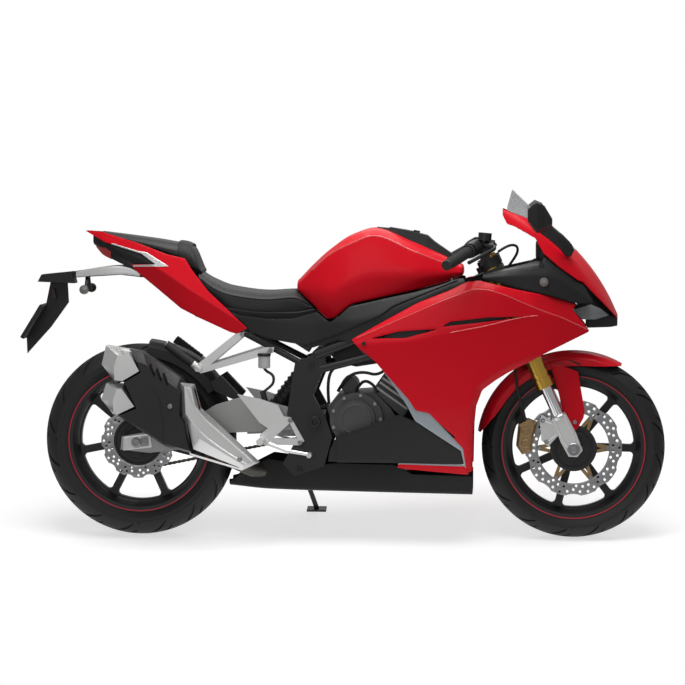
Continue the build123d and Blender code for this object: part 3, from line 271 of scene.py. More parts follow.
def net(outline, holes=(), lines=(), step=9, corner=6):
    """Triangles that fill an (x, z) outline, with its corners rounded, holes left out and lines kept."""
    loops = [resampled(corner_rounded(ring, corner, 4), step) for ring in [outline, *holes]]
    points, edges = [], []
    for loop in loops:
        first = len(points)
        points += loop
        edges += [(first + k, first + (k + 1) % len(loop)) for k in range(len(loop))]
    for line in lines:
        run = resampled(line, step, closed=False)
        first = len(points)
        points += run
        edges += [(first + k, first + k + 1) for k in range(len(run) - 1)]
    tree = KDTree(len(points))
    for i, point in enumerate(points):
        tree.insert((point[0], point[1], 0), i)
    tree.balance()
    rings = [[(p[0], p[1]) for p in loop] for loop in loops]
    xs, zs = zip(*rings[0])
    row, z = 0, min(zs)
    fill = []
    while z < max(zs):
        x = min(xs) + (step / 2 if row % 2 else 0)
        while x < max(xs):
            if inside(x, z, rings[0]) and tree.find((x, z, 0))[2] > step * 0.55:
                fill.append((x, z))
            x += step
        z += step * 0.87
        row += 1
    result = delaunay_2d_cdt([Vector((p[0], p[1])) for p in points + fill], edges, [], 0, 1e-4)
    nodes, faces = result[0], []
    for face in result[2]:
        cx, cz = (sum(nodes[i][k] for i in face) / 3 for k in (0, 1))
        if inside(cx, cz, rings[0]) and not any(inside(cx, cz, ring) for ring in rings[1:]):
            a, b, c = (nodes[i] for i in face)
            area = (b[0] - a[0]) * (c[1] - a[1]) - (c[0] - a[0]) * (b[1] - a[1])
            faces.append(tuple(face) if area > 0 else tuple(reversed(face)))
    return [(p[0], p[1]) for p in nodes], faces


# Faces and pieces

def grid_faces(rows, columns, closed=False):
    """Quads of a grid of points, row by row."""
    faces = []
    for r in range(rows - 1):
        for c in range(columns if closed else columns - 1):
            d = (c + 1) % columns
            faces.append((r * columns + c, r * columns + d, (r + 1) * columns + d, (r + 1) * columns + c))
    return faces


def tube_faces(rings, count):
    """Faces of a closed tube through rings of points, with both ends shut."""
    ends = [tuple(reversed(range(count))), tuple(range((rings - 1) * count, rings * count))]
    return grid_faces(rings, count, True) + ends


def flipped(faces):
    """Faces that look the other way."""
    return [tuple(reversed(face)) for face in faces]


def merged(parts):
    """Points and faces of several parts as one mesh."""
    points, faces = [], []
    for part_points, part_faces in parts:
        faces += [tuple(len(points) + i for i in face) for face in part_faces]
        points += part_points
    return points, faces


def both_sides(points, faces):
    """A part of the right side with its twin on the left."""
    return merged([(points, faces), ([(x, -y, z) for x, y, z in points], flipped(faces))])


def round_edges(piece, mm, angle=32):
    """Rounds the edges sharper than an angle."""
    edges = piece.modifiers.new("edges", "BEVEL")
    edges.width = mm / 1000
    edges.segments = 2
    edges.limit_method = "ANGLE"
    edges.angle_limit = radians(angle)
    edges.harden_normals = False


def new_piece(name, points, faces, material, body="chassis", node=None, slot=None, sharp=38, inner=None,
              thick=0, soften=0.8):
    """Mesh piece from bike points, smooth but for sharp edges; a sheet gets its thickness inwards."""
    mesh = bpy.data.meshes.new(name)
    mesh.from_pydata([place(*p) for p in points], [], faces)
    mesh.update()
    for polygon in mesh.polygons:
        polygon.use_smooth = True
    work = bmesh.new()
    work.from_mesh(mesh)
    bmesh.ops.remove_doubles(work, verts=work.verts, dist=1e-6)
    limit = radians(sharp)
    for edge in work.edges:
        edge.smooth = not (edge.is_manifold and edge.calc_face_angle(0) > limit)
    work.to_mesh(mesh)
    work.free()
    piece = bpy.data.objects.new(name, mesh)
    scene.collection.objects.link(piece)
    for surface in filter(None, (material, inner)):
        mesh.materials.append(surface)
    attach(piece, body)
    if node:
        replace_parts(piece, node)
    if thick:
        shell = piece.modifiers.new("shell", "SOLIDIFY")
        shell.thickness = thick / 1000
        shell.offset = -1
        shell.use_even_offset = False
        shell.material_offset = 1 if inner else 0
        if soften:
            round_edges(piece, soften, 55)
    return piece


def dress(node, material, soft):
    """Keeps a CAD node, with soft edges and a finished surface."""
    piece = frame["nodes"][node]
    if not piece.material_slots:
        piece.data.materials.append(material)
    for slot in piece.material_slots:
        slot.material = material
    joined = piece.modifiers.new("joined", "WELD")
    joined.merge_threshold = 2e-5
    if soft:
        round_edges(piece, soft)
    normals = piece.modifiers.new("normals", "WEIGHTED_NORMAL")
    normals.keep_sharp = False


def level(ring, z):
    """Width at a height on a section that runs from its top to its foot."""
    for (w0, z0), (w1, z1) in zip(ring, ring[1:]):
        if z >= z1 or (w1, z1) == ring[-1]:
            return w0 + (w1 - w0) * (z0 - z) / max(1e-6, z0 - z1)


def width_of(rows, soft=5):
    """Half width of a side panel at (x, z), from its sections, with soft creases."""
    at = sections(rows)

    def width(x, z):
        ring = at(x)
        return sum(level(ring, z + soft * k / 2) for k in (-2, -1, 0, 1, 2)) / 5

    return width


def creases(rows, columns, soft=5):
    """Lines along a panel's creases and beside them."""
    at = sections(rows)
    run = spaced(rows[0][0], rows[-1][0], 60)
    return [[(x, at(x)[column][1] + shift) for x in run] for column in columns for shift in (-soft, 0, soft)]


def side_panels(name, outline, width, material, node=None, holes=(), lines=(), thick=3, step=8, corner=6,
                body="chassis", offset=0, soften=0.8):
    """A pair of side panels: an (x, z) outline bent onto the body's width."""
    flat, faces = net(outline, holes, clipped(lines, outline), step, corner)
    right = [(x, -(width(x, z) + offset), z) for x, z in flat]
    new_piece(name, *both_sides(right, faces), material, body, node, inner=BLACK, thick=thick, soften=soften)


DOME = [(0.12, 0.98), (0.4, 0.92), (0.7, 0.72), (0.9, 0.45), (0.99, 0.12)]


def lofted(name, rows, radii, material, node=None, samples=60, dome=(8, 8)):
    """Closed body, mirrored left to right, through half sections that run from the foot to the top."""
    at = sections(rows)
    x0, x1 = rows[0][0], rows[-1][0]
    rings = []
    for x in spaced(x0, x1, samples):
        half = at(x)
        soft = corner_rounded(half + [(-y, z) for y, z in reversed(half)], [*radii, *reversed(radii)], 5)
        rings.append((x, [a.lerp(b, k / 4) for a, b in zip(soft, soft[1:] + soft[:1]) for k in range(4)]))

    def shrunk(x, ring, factor):
        middle = Vector([sum(p[k] for p in ring) / len(ring) for k in (0, 1)])
        return x, [middle + (p - middle) * factor for p in ring]

    head = [shrunk(x0 - dome[0] * out, rings[0][1], share) for out, share in reversed(DOME)]
    tail = [shrunk(x1 + dome[1] * out, rings[-1][1], share) for out, share in DOME]
    rings = head + rings + tail
    points = [(x, p[0], p[1]) for x, ring in rings for p in ring]
    return new_piece(name, points, tube_faces(len(rings), len(rings[0][1])), material, node=node)


def piping(name, line, radius, material, body="chassis"):
    """Thin round bead along a line."""
    curve = bpy.data.curves.new(name, "CURVE")
    curve.dimensions = "3D"
    curve.bevel_depth = radius / 1000
    curve.bevel_resolution = 3
    curve.resolution_u = 6
    curve.use_fill_caps = True
    spline = curve.splines.new("NURBS")
    spline.points.add(len(line) - 1)
    for knot, point in zip(spline.points, line):
        knot.co = (*place(*point), 1)
    spline.order_u = 3
    spline.use_endpoint_u = True
    piece = bpy.data.objects.new(name, curve)
    scene.collection.objects.link(piece)
    curve.materials.append(material)
    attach(piece, body)
    return piece


def piping_pair(name, line, radius, material, body="chassis"):
    """A bead of the right side and its twin on the left."""
    piping(name + "R", line, radius, material, body)
    piping(name + "L", [(x, -y, z) for x, y, z in line], radius, material, body)


def turned(name, spots, profile, material, body="chassis", segments=18, sharp=30, node=None, slot=None):
    """Like turned parts in one piece, each at (centre, axis), with a profile of (radius, height)."""
    turns = [2 * pi * k / segments for k in range(segments)]
    parts = []
    for centre, axis in spots:
        out = Vector(axis).normalized()
        side = out.orthogonal().normalized()
        up = out.cross(side)
        points = [Vector(centre) + out * height + radius * (cos(t) * side + sin(t) * up)
                  for radius, height in profile for t in turns]
        cap = tuple(range(len(points) - segments, len(points)))
        parts.append((points, grid_faces(len(profile), segments, True) + [cap]))
    new_piece(name, *merged(parts), material, body, node, slot, sharp)


def bolts(name, spots, radius, material, body="chassis", slot="steel"):
    """Round heads with a sunk socket."""
    shape = [(1, 0), (1, 0.5), (0.88, 0.7), (0.55, 0.7), (0.5, 0.3), (0.02, 0.3)]
    turned(name, spots, [(r * radius, h * radius) for r, h in shape], material, body, slot=slot)


RIGHT = (0, -1, 0)


def mirrored(spots):
    """Spots on the right side with their twins on the left."""
    return spots + [((x, -y, z), (ax, -ay, az)) for (x, y, z), (ax, ay, az) in spots]


def facing_out(*points):
    """Spots that face right, with their twins that face left."""
    return mirrored([(point, RIGHT) for point in points])


def circle_of(centre, radius, y, count, start=0.0, way=-1):
    """Spots round a wheel's or cover's middle, facing right or left."""
    places = [around(centre, radius, start + 2 * pi * k / count) for k in range(count)]
    return [((x, y, z), (0, way, 0)) for x, z in places]


def fork_point(forward, along, y=0):
    """Point given by its place along the fork's axis and ahead of it."""
    return (FRONT[0] - along * sin(RAKE) + forward * cos(RAKE), y,
            FRONT[1] + along * cos(RAKE) + forward * sin(RAKE))


# Camera, light and floor

AIM, FAR, AZIMUTH, RISE = Vector((650, 0, 621)), 8850, radians(3.5), radians(3.6)
PICTURE, PIXEL = 685, 3.209
camera = bpy.data.objects.new("camera", bpy.data.cameras.new("camera"))
scene.collection.objects.link(camera)
scene.camera = camera
eye = AIM + FAR * Vector((sin(AZIMUTH) * cos(RISE), -cos(AZIMUTH) * cos(RISE), sin(RISE)))
look = (AIM - eye).to_track_quat("-Z", "Y").to_matrix().to_4x4()
camera.matrix_world = Matrix.Translation(place(*eye)) @ upright @ look
camera.data.sensor_fit = "HORIZONTAL"
camera.data.angle = 2 * atan(PICTURE * PIXEL / 2 / FAR)
camera.data.clip_end = 50

for name, at, aim_z, watts, shape in (("top_light", (0.1, -0.5, 3.4), 0.4, 105, 0.6),
                                      ("side_light", (-0.6, -4.2, 2.3), 0.5, 19, 0.5),
                                      ("back_light", (0.3, 3.6, 2.6), 0.6, 24, 0.5)):
    light = bpy.data.lights.new(name, "AREA")
    light.shape = "RECTANGLE"
    light.size, light.size_y = 3.0, 3.0 * shape
    light.energy = watts
    holder = bpy.data.objects.new(name, light)
    turn = (Vector((0, 0, aim_z)) - Vector(at)).to_track_quat("-Z", "Y").to_matrix().to_4x4()
    holder.matrix_world = Matrix.Translation(Vector(at)) @ turn
    scene.collection.objects.link(holder)

AMBIENT, SHINE = 0.17, 0.2
world = bpy.data.worlds.new("studio")
scene.world = world
world.use_nodes = True
tree = world.node_tree
rays = tree.nodes.new("ShaderNodeLightPath").outputs
seen = add_node(tree, "Math", {0: rays["Is Camera Ray"], 1: rays["Is Transmission Ray"]}, operation="MAXIMUM")
strength = add_node(tree, "MapRange", {"Value": seen, "To Min": AMBIENT, "To Max": 1.0}, "Result")
shine = add_node(tree, "Math", {0: rays["Is Glossy Ray"], 1: SHINE, 2: strength}, operation="MULTIPLY_ADD")
feed(tree, tree.nodes["Background"], {"Color": (1, 1, 1, 1), "Strength": shine})

floor_mesh = bpy.data.meshes.new("floor")
floor_mesh.from_pydata([(-6, -6, 0), (6, -6, 0), (6, 6, 0), (-6, 6, 0)], [], [(0, 1, 2, 3)])
floor = bpy.data.objects.new("floor", floor_mesh)
scene.collection.objects.link(floor)
pale = bpy.data.materials.new("floor")
pale.use_nodes = True
tree = pale.node_tree
shader = tree.nodes["Principled BSDF"]
feed(tree, shader, {"Base Color": (0.55, 0.55, 0.55, 1), "Roughness": 0.7, "Emission Color": (1, 1, 1, 1),
                    "Emission Strength": 0.6})
reach = add_node(tree, "VectorMath", {0: add_node(tree, "TexCoord", {}, "Object")}, "Value",
                 operation="LENGTH")
fade = add_node(tree, "MapRange", {"Value": reach, "From Min": 0.9, "From Max": 1.9}, "Result",
                interpolation_type="SMOOTHSTEP")
clear = add_node(tree, "BsdfTransparent", {})
feed(tree, tree.nodes["Material Output"],
     {"Surface": add_node(tree, "MixShader", {"Fac": fade, 1: shader.outputs[0], 2: clear})})
floor_mesh.materials.append(pale)

# Side panels. Section rows: x, then (half width, height) from the top to the foot

FAIRING = [
    (600, [(150, 700), (186, 612), (190, 600), (168, 400), (142, 200)]),
    (700, [(168, 690), (204, 646), (208, 628), (180, 400), (146, 200)]),
    (860, [(186, 768), (222, 716), (228, 637), (194, 420), (150, 200)]),
    (1010, [(198, 834), (236, 780), (240, 670), (204, 430), (150, 200)]),
    (1085, [(196, 860), (236, 804), (238, 684), (202, 430), (146, 200)]),
    (1280, [(172, 812), (202, 738), (204, 720), (184, 500), (130, 200)]),
    (1440, [(128, 780), (136, 672), (134, 660), (120, 500), (90, 200)])]
LEADING = [(1300, 603), (1250, 575), (1180, 540), (1140, 515), (1100, 485), (1080, 430), (1072, 350),
           (1070, 222)]
TRIM_EDGE = [(1052, 222), (1040, 300), (934, 412), (892, 420), (870, 455), (790, 545)]
FAIRING_SIDE = [(690, 643), (800, 705), (900, 760), (1000, 800), (1050, 825), (1090, 830), (1200, 803),
                (1300, 782), (1395, 752), (1380, 738), (1420, 690), (1437, 668), *LEADING, *TRIM_EDGE,
                (765, 575), (710, 620)]
VENTS = [[(750, 647), (860, 650), (962, 678), (920, 677), (838, 670)],
         [(975, 686), (1250, 718), (1120, 716), (1000, 702)],
         [(940, 402), (1020, 332), (1000, 334), (935, 392)]]
ROLL, ROLL_IN, ROLL_END, ROLL_FADE = 20, 17, 1300, 120
fairing_width = width_of(FAIRING)


def from_edge(x, z):
    """Distance from the fairing's leading edge."""
    best = 1e9
    for (ax, az), (bx, bz) in zip(LEADING, LEADING[1:]):
        share = ((x - ax) * (bx - ax) + (z - az) * (bz - az)) / ((bx - ax) ** 2 + (bz - az) ** 2)
        share = min(1.0, max(0.0, share))
        best = min(best, hypot(x - ax - share * (bx - ax), z - az - share * (bz - az)))
    return best


def fairing_skin(x, z):
    """Fairing width, rolled in along its leading edge."""
    near = max(0.0, ROLL - from_edge(x, z)) / ROLL
    return fairing_width(x, z) - ROLL_IN * near ** 1.5 * min(1.0, max(0.0, (ROLL_END - x) / ROLL_FADE))


rolled = [[(x - 0.8 * d, z + 0.6 * d) for x, z in LEADING] for d in (6, 12, ROLL)]
side_panels("side_fairings.skin", FAIRING_SIDE, fairing_skin, RED, "side_fairings", VENTS,
            creases(FAIRING, (1, 2)) + rolled, corner=8)
TRIM_SIDE = [*reversed(TRIM_EDGE), (1060, 218), (836, 243), (836, 250), (1044, 246), (1034, 291), (890, 387),
             (862, 440)]
side_panels("fairing_trims.skin", TRIM_SIDE, fairing_skin, BLUE_GREY, "fairing_trims", step=7, corner=3,
            offset=-1)
LOWER_SIDE = [(838, 405), (889, 385), (1033, 290), (1043, 247), (820, 250), (640, 250), (640, 335),
              (660, 340), (720, 360)]
side_panels("lower_fairings.skin", LOWER_SIDE, fairing_skin, BLACK, "lower_fairings", step=9, corner=5,
            offset=-3)
COVERS = [(300, [(112, 742), (122, 716), (112, 640)]), (545, [(122, 790), (138, 690), (142, 600)]),
          (700, [(142, 770), (170, 700), (172, 620)]), (900, [(148, 812), (176, 770), (180, 700)]),
          (1035, [(110, 850), (136, 830), (150, 790)])]
COVER_SIDE = [(356, 668), (302, 724), (330, 714), (420, 703), (500, 704), (576, 726), (618, 694), (640, 706),
              (682, 744), (800, 771), (890, 791), (1026, 830), (935, 795), (820, 748), (780, 718), (650, 660),
              (540, 620), (420, 640)]
side_panels("side_covers.skin", COVER_SIDE, width_of(COVERS), BLACK, "side_covers", (), creases(COVERS, (1,)))
TAIL = [(-182, [(14, 990), (17, 976), (14, 962)]), (-100, [(52, 974), (66, 934), (54, 880)]),
        (60, [(90, 928), (108, 866), (84, 790)]), (180, [(98, 886), (124, 790), (104, 690)]),
        (370, [(112, 720), (130, 670), (122, 630)])]
TAIL_SIDE = [(-178, 980), (-115, 975), (0, 942), (100, 905), (155, 893), (175, 860), (230, 790), (300, 725),
             (355, 672), (320, 655), (300, 660), (200, 705), (140, 735), (60, 800), (0, 848), (-20, 872),
             (65, 874), (15, 908), (-108, 944)]
tail_width = width_of(TAIL, 3)
side_panels("tail_cowls.skin", TAIL_SIDE, tail_width, RED, "tail_cowls", (), creases(TAIL, (1,), 3), corner=5)
COCKPIT = [(1095, [(168, 856), (190, 838), (186, 812)]), (1290, [(146, 916), (176, 845), (186, 770)]),
           (1460, [(112, 770), (126, 752), (126, 740)])]
COCKPIT_SIDE = [(1100, 842), (1150, 853), (1285, 878), (1292, 908), (1340, 866), (1400, 823), (1414, 818),
                (1448, 757), (1400, 756), (1300, 786), (1200, 807), (1100, 834)]
cockpit_width = width_of(COCKPIT, 3)
side_panels("cockpit_panels.skin", COCKPIT_SIDE, cockpit_width, BLACK, "cockpit_panels", (),
            creases(COCKPIT, (1,), 3), corner=4)

# Tank and seats. Section rows: x, then (half width, height) from the foot to the top

TANK = [(514, [(60, 788), (66, 794), (62, 812), (34, 826)]),
        (560, [(84, 748), (96, 792), (88, 858), (46, 874)]),
        (616, [(104, 702), (124, 790), (106, 908), (54, 924)]),
        (690, [(122, 750), (138, 830), (118, 946), (60, 972)]),
        (755, [(126, 766), (142, 848), (122, 968), (66, 990)]),
        (880, [(118, 794), (136, 846), (118, 920), (66, 946)]),
        (970, [(92, 816), (108, 846), (96, 884), (60, 906)]),
        (1032, [(70, 838), (82, 848), (74, 864), (48, 874)])]
lofted("fuel_tank.body", TANK, (6, 26, 7, 22), RED, "fuel_tank", 80)
RIDER = [(196, [(78, 772), (82, 836), (58, 850), (20, 852)]),
         (232, [(92, 748), (104, 806), (76, 826), (26, 830)]),
         (300, [(104, 728), (124, 778), (96, 798), (34, 804)]),
         (420, [(104, 716), (124, 764), (92, 783), (32, 790)]),
         (500, [(92, 716), (104, 770), (62, 790), (22, 794)]),
         (560, [(78, 728), (84, 740), (50, 746), (18, 748)])]
PILLION = [(-118, [(32, 962), (36, 968), (26, 977), (10, 978)]),
           (0, [(64, 930), (70, 944), (52, 960), (18, 963)]),
           (100, [(72, 898), (80, 920), (60, 944), (20, 948)]),
           (172, [(74, 862), (80, 900), (58, 926), (20, 930)]),
           (204, [(70, 846), (74, 852), (54, 858), (20, 860)])]
for name, rows in (("rider_seat", RIDER), ("pillion_seat", PILLION)):
    lofted(name, rows, (8, 16, 24, 30), SEAT, "seats", 50, (3, 3))
    at = sections(rows)
    run = spaced(rows[0][0] + 10, rows[-1][0] - 10, 14)
    seam = [(x, -(at(x)[1][0] - 3.5), at(x)[1][1] + 0.5) for x in run]
    piping_pair(f"{name}.seam", seam, 1.6, RUBBER)
pillion_at = sections(PILLION)
points = []
for k in range(11):
    x = 130 + 4.2 * k
    rise = 1.6 * sin(pi * k / 10)
    half = [(y + 2.2, z + (2.4 if i > 1 else 0)) for i, (y, z) in enumerate(pillion_at(x - 4))]
    line = [(p[0] + rise, p[1] + rise) for p in corner_rounded(half, [0, 16, 24, 0], 6, closed=False)]
    points += [(x, y, z) for y, z in line] + [(x, -y, z) for y, z in reversed(line)]
new_piece("pillion_strap", points, flipped(grid_faces(11, len(points) // 11)), RUBBER, slot="seat_cover",
          thick=2.5, soften=0.6)

# Nose and screen

NOSE = [(1155, [(138, 1006), (126, 1056), (60, 1122), (0, 1128)]),
        (1270, [(160, 930), (140, 990), (56, 1036), (0, 1041)]),
        (1385, [(150, 820), (124, 884), (44, 928), (0, 932)]),
        (1450, [(128, 745), (96, 806), (32, 852), (0, 856)]),
        (1500, [(88, 715), (60, 748), (20, 772), (0, 776)]),
        (1528, [(34, 700), (26, 706), (14, 714), (0, 716)])]
NOSE_STEPS, SCREEN_TIP, SKY = 22, 1398, 2000
nose_at = sections(NOSE)
screen_edge = straight([(1162, 1052), (1243, 1020), (1275, 1002), (1330, 964), (1392, 918),
                        (SCREEN_TIP, 924)])
foot_edge = straight([(1162, 1032), (1175, 1005), (1200, 996), (1265, 960), (1290, 913), (1340, 870),
                      (1400, 828), (1415, 822), (1488, 748), (1528, 704)])


def part_of_ring(ring, low, high):
    """Points spread along a rising line between two heights."""
    fine = resampled(ring, 1.5, closed=False)
    run = [p for p in fine if low <= p[1] <= high] or [min(fine, key=lambda p: abs(p[1] - low))]
    out = []
    for k in range(NOSE_STEPS):
        place_at = k / (NOSE_STEPS - 1) * (len(run) - 1)
        i = max(0, min(int(place_at), len(run) - 2))
        out.append(run[i].lerp(run[min(i + 1, len(run) - 1)], place_at - i))
    return out


def nose_strip(x0, x1, stations, low, high, slant=0.0):
    """Points and faces of both sides of the nose between two edges."""
    right = []
    for x in spaced(x0, x1, stations):
        ring = corner_rounded(nose_at(x), [0, 26, 40, 0], 6, closed=False)
        for y, z in part_of_ring(ring, low(x), high(x)):
            right.append((x + slant * max(0, z - 1055) * (1 - (x - x0) / (x1 - x0)), -y, z))
    return both_sides(right, flipped(grid_faces(stations + 1, NOSE_STEPS)))


new_piece("nose_cowl.skin", *nose_strip(1162, 1528, 90, foot_edge,
                                        lambda x: screen_edge(x) if x < SCREEN_TIP else SKY),
          RED, node="nose_cowl", inner=BLACK, thick=3)
new_piece("windscreen.skin", *nose_strip(1176, SCREEN_TIP, 60, screen_edge, lambda x: SKY, 0.3), SCREEN,
          node="windscreen", thick=2.5, soften=0.6)
lofted("nose_chin", [(1430, [(92, 676), (92, 708), (40, 710)]), (1500, [(50, 676), (50, 716), (20, 718)]),
                     (1526, [(30, 679), (30, 708), (12, 710)])], (6, 8, 8), BLACK, None, 14, (2, 2))

# Belly pan: x, (floor z, floor half width), (0, rim half width), with its top edge by the side outline

pan_at = sections([(292, [(168, 52), (0, 66)]), (420, [(160, 92), (0, 116)]), (700, [(154, 104), (0, 140)]),
                   (1068, [(146, 96), (0, 138)])])
pan_top = straight([(290, 174), (340, 216), (420, 256), (560, 236), (640, 247), (822, 243), (880, 214),
                    (1070, 208)])
points = []
for x in spaced(291, 1069, 90):
    (floor_z, floor_w), (_, rim_w) = pan_at(x)
    half = [(rim_w, max(pan_top(x), floor_z + 6)), (floor_w + 0.35 * (rim_w - floor_w), floor_z + 22),
            (floor_w, floor_z), (0, floor_z - 3)]
    line = corner_rounded(half, [0, 16, 26, 0], 6, closed=False)
    points += [(x, y, z) for y, z in line] + [(x, -y, z) for y, z in reversed(line[:-1])]
# the belly pan takes the darker black: painted shade
new_piece("belly_pan.skin", points, grid_faces(91, len(points) // 91), SHADED_BLACK, node="belly_pan", thick=3)

# Front fender: half profile of (radius, half width), with its lower edge by (angle, radius)

FENDER = [(308, 0), (306.5, 20), (301.5, 41), (285.5, 65), (256, 68)]
skirt_at = straight([(60, 302), (64, 290), (70, 275), (79, 264), (95, 259), (137, 260), (150, 261),
                     (158, 268), (166, 286), (171, 301)])
fine = resampled(corner_rounded(FENDER, [0, 10, 8, 8, 0], 6, closed=False), 1.0, closed=False)
points = []
for turn in spaced(60, 171, 80):
    run = [p for p in fine if p[0] >= skirt_at(turn)]
    half = [run[round(i / 24 * (len(run) - 1))] for i in range(25)]
    for r, y in [(p[0], p[1]) for p in reversed(half)] + [(p[0], -p[1]) for p in half[1:]]:
        x, z = around(FRONT, r, radians(turn))
        points.append((x, y, z))
new_piece("front_fender.skin", points, flipped(grid_faces(81, 49)), RED, "steering", "front_fender",
          inner=BLACK, thick=3)
LEG = [(1312, 562), (1350, 556), (1402, 536), (1424, 410), (1420, 388), (1396, 347), (1360, 388), (1340, 470)]


def leg_width(x, z):
    """Fender leg: ridged along its middle."""
    return 78.4 - 0.12 * abs(x - 1350 - (560 - z) * 0.19)


side_panels("front_fender.legs", LEG, leg_width, RED, lines=[[(1352, 550), (1392, 360)]], thick=3.5, step=7,
            corner=5, body="steering")
fender_side = pchip(*zip(*reversed(FENDER)))
FENDER_SLOT = [(1366, 574), (1386, 570), (1414, 559), (1404, 557)]
side_panels("fender_slots", FENDER_SLOT, lambda x, z: fender_side(hypot(x - FRONT[0], z - FRONT[1])), BLACK,
            step=4, corner=1, thick=2, offset=0.7, body="steering", soften=0.4)

# Tyres with cut grooves, as (along the tread, across it) outlines in shares of one repeat of the pattern

CUTS = [[(0.08, 0.1), (0.2, 0.12), (0.62, 0.6), (0.84, 0.93), (0.76, 0.93), (0.5, 0.6), (0.3, 0.34)],
        [(0.62, 0.2), (0.72, 0.2), (0.92, 0.5), (0.95, 0.62), (0.88, 0.56)]]
FLANGE, REPEATS, GROOVE, CROWN = 231, 16, 4.0, 0.62
# (above the flange, in from the tyre's half width)
WALL = [(22, 0.6), (21, 0), (18, 0), (17, 1.0), (9, 2.5), (5, 6), (2, 8.5), (-12, 14.2)]


def band(centre, profile, steps):
    """A wheel's side bands, right and left, by a profile of (radius, half width) from the rim inwards."""
    count = len(profile)
    points = []
    for k in range(steps):
        for r, y in profile:
            x, z = around(centre, r, 2 * pi * k / steps)
            points.append((x, -y, z))
    faces = [(k * count + c, n * count + c, n * count + c + 1, k * count + c + 1)
             for k in range(steps) for n in [(k + 1) % steps] for c in range(count - 1)]
    return both_sides(points, faces)


def edges_of(face):
    """Directed edges round a face."""
    return zip(face, face[1:] + face[:1])


def tread(radius, half):
    """One repeat of a grooved tread: (along, across, depth) points, faces, and the crown's bend."""
    sag = CROWN * half
    bend = (half * half + sag * sag) / (2 * sag)
    pitch, reach = 2 * pi * radius / REPEATS, bend * asin(half / bend)
    cuts = [[(pitch * u, side * reach * v) for u, v in cut] for side in (-1, 1) for cut in CUTS]
    loops = [resampled(corner_rounded(cut, 2.0, 3), 9) for cut in cuts]
    outline = [(0, -reach), (pitch, -reach), (pitch, reach), (0, reach)]
    flat, faces = net(outline, (), [loop + loop[:1] for loop in loops], 9, 0)
    rings = [[(p[0], p[1]) for p in loop] for loop in loops]
    low, high = [], []
    for face in faces:
        cx, cz = (sum(flat[i][k] for i in face) / 3 for k in (0, 1))
        (low if any(inside(cx, cz, ring) for ring in rings) else high).append(face)
    points, sunk = [(u, v, 0) for u, v in flat], {}
    for i in (i for face in low for i in face):
        if i not in sunk:
            sunk[i] = len(points)
            points.append((*flat[i], GROOVE))
    rims = {edge for face in high for edge in edges_of(face)}
    walls = [(b, a, sunk[a], sunk[b]) for face in low for a, b in edges_of(face) if (b, a) in rims]
    return points, high + [tuple(sunk[i] for i in face) for face in low] + walls, bend


for end, centre, radius, half in (("front", FRONT, 292, 55), ("rear", REAR, 308, 70)):
    flat, faces, bend = tread(radius, half)
    parts = []
    for repeat in range(REPEATS):
        points = []
        for u, v, depth in flat:
            r = bend - depth
            x, z = around(centre, radius - bend + r * cos(v / bend), u / radius + 2 * pi * repeat / REPEATS)
            points.append((x, r * sin(v / bend), z))
        parts.append((points, faces))
    shoulder = radius - CROWN * half
    wall = [(shoulder, half), (shoulder - 6, half)] + [(FLANGE + up, half - into) for up, into in WALL]
    new_piece(f"{end}_tyre.tread", *merged([*parts, band(centre, wall, 220)]), TYRE, f"{end}_wheel",
              f"{end}_tyre", sharp=50)
    new_piece(f"{end}_rim.stripe", *band(centre, [(228.7, half - 7.6), (225.3, half - 7.6)], 160), STRIPE,
              f"{end}_wheel")

# Bolts and other turned parts

CLUTCH, DISC_FACE, REAR_DISC_FACE = (702, 386), -67, -82.5
up_fork, ahead = (-sin(RAKE), 0, cos(RAKE)), (cos(RAKE), 0, sin(RAKE))
bolts("fairing_bolts", facing_out((730, -fairing_width(730, 631) - 0.6, 631)), 6.5, BLACK_METAL)
bolts("muffler_bolts", [((120, -222, 432), RIGHT), ((340, -226, 266), RIGHT)], 8, STEEL)
bolts("fender_bolts", facing_out((1393, -77.6, 376)), 7, STEEL, "steering")
bolts("caliper_bolts", [(fork_point(-52, 122, -96), RIGHT), (fork_point(-69, 56, -96), RIGHT)], 7.5, STEEL,
      "steering")
turned("caliper_pistons", [((FRONT[0] - 152, -92, FRONT[1] + z), RIGHT) for z in (16, 52)],
       [(14, -1), (14, 2.5), (12, 4), (8, 4), (7, 2.5), (0.1, 2.5)], BRONZE, "steering", 24)
bolts("disc_buttons", circle_of(FRONT, 108, DISC_FACE, 6), 7, STEEL, "front_wheel")
bolts("carrier_bolts", circle_of(FRONT, 48, DISC_FACE, 6, pi / 6), 5, BLACK_METAL, "front_wheel")
bolts("rear_disc_bolts", circle_of(REAR, 48, REAR_DISC_FACE, 5), 5.5, BLACK_METAL, "rear_wheel")
bolts("sprocket_bolts", circle_of(REAR, 50, 90, 6, pi / 6, 1), 6, STEEL, "rear_wheel")
bolts("clutch_bolts", circle_of(CLUTCH, 77, -134, 9), 6, STEEL)
turned("clutch_ring", [((CLUTCH[0], -148, CLUTCH[1]), RIGHT)],
       [(52, -1), (52, 1.6), (50.5, 2.4), (44, 2.4), (42.5, 1.6), (42.5, 0.2), (0.1, 0.2)], ENGINE,
       segments=64)
bolts("generator_bolts", circle_of((760, 372), 65, 134, 8, 0, 1), 5.5, STEEL)
bolts("pivot_bolts", facing_out((572, -146, 378)), 19, BLACK_METAL, slot="black_metal")
turned("axle_nuts", facing_out((0, -130, 308)), [(15, -1), (15, 6), (13, 7.5), (9, 7.5), (8, 4), (0.1, 4)],
       STEEL, segments=6, sharp=20)
bolts("hanger_bolts", facing_out((494, -152, 383), (525, -152, 313)), 8, STEEL)
bolts("peg_bracket_bolts", facing_out((338, -114, 652), (428, -114, 604)), 7, STEEL)
bolts("frame_bolts", facing_out((522, -140, 226), (560, -140, 560)), 9, BLACK_METAL, slot="black_metal")
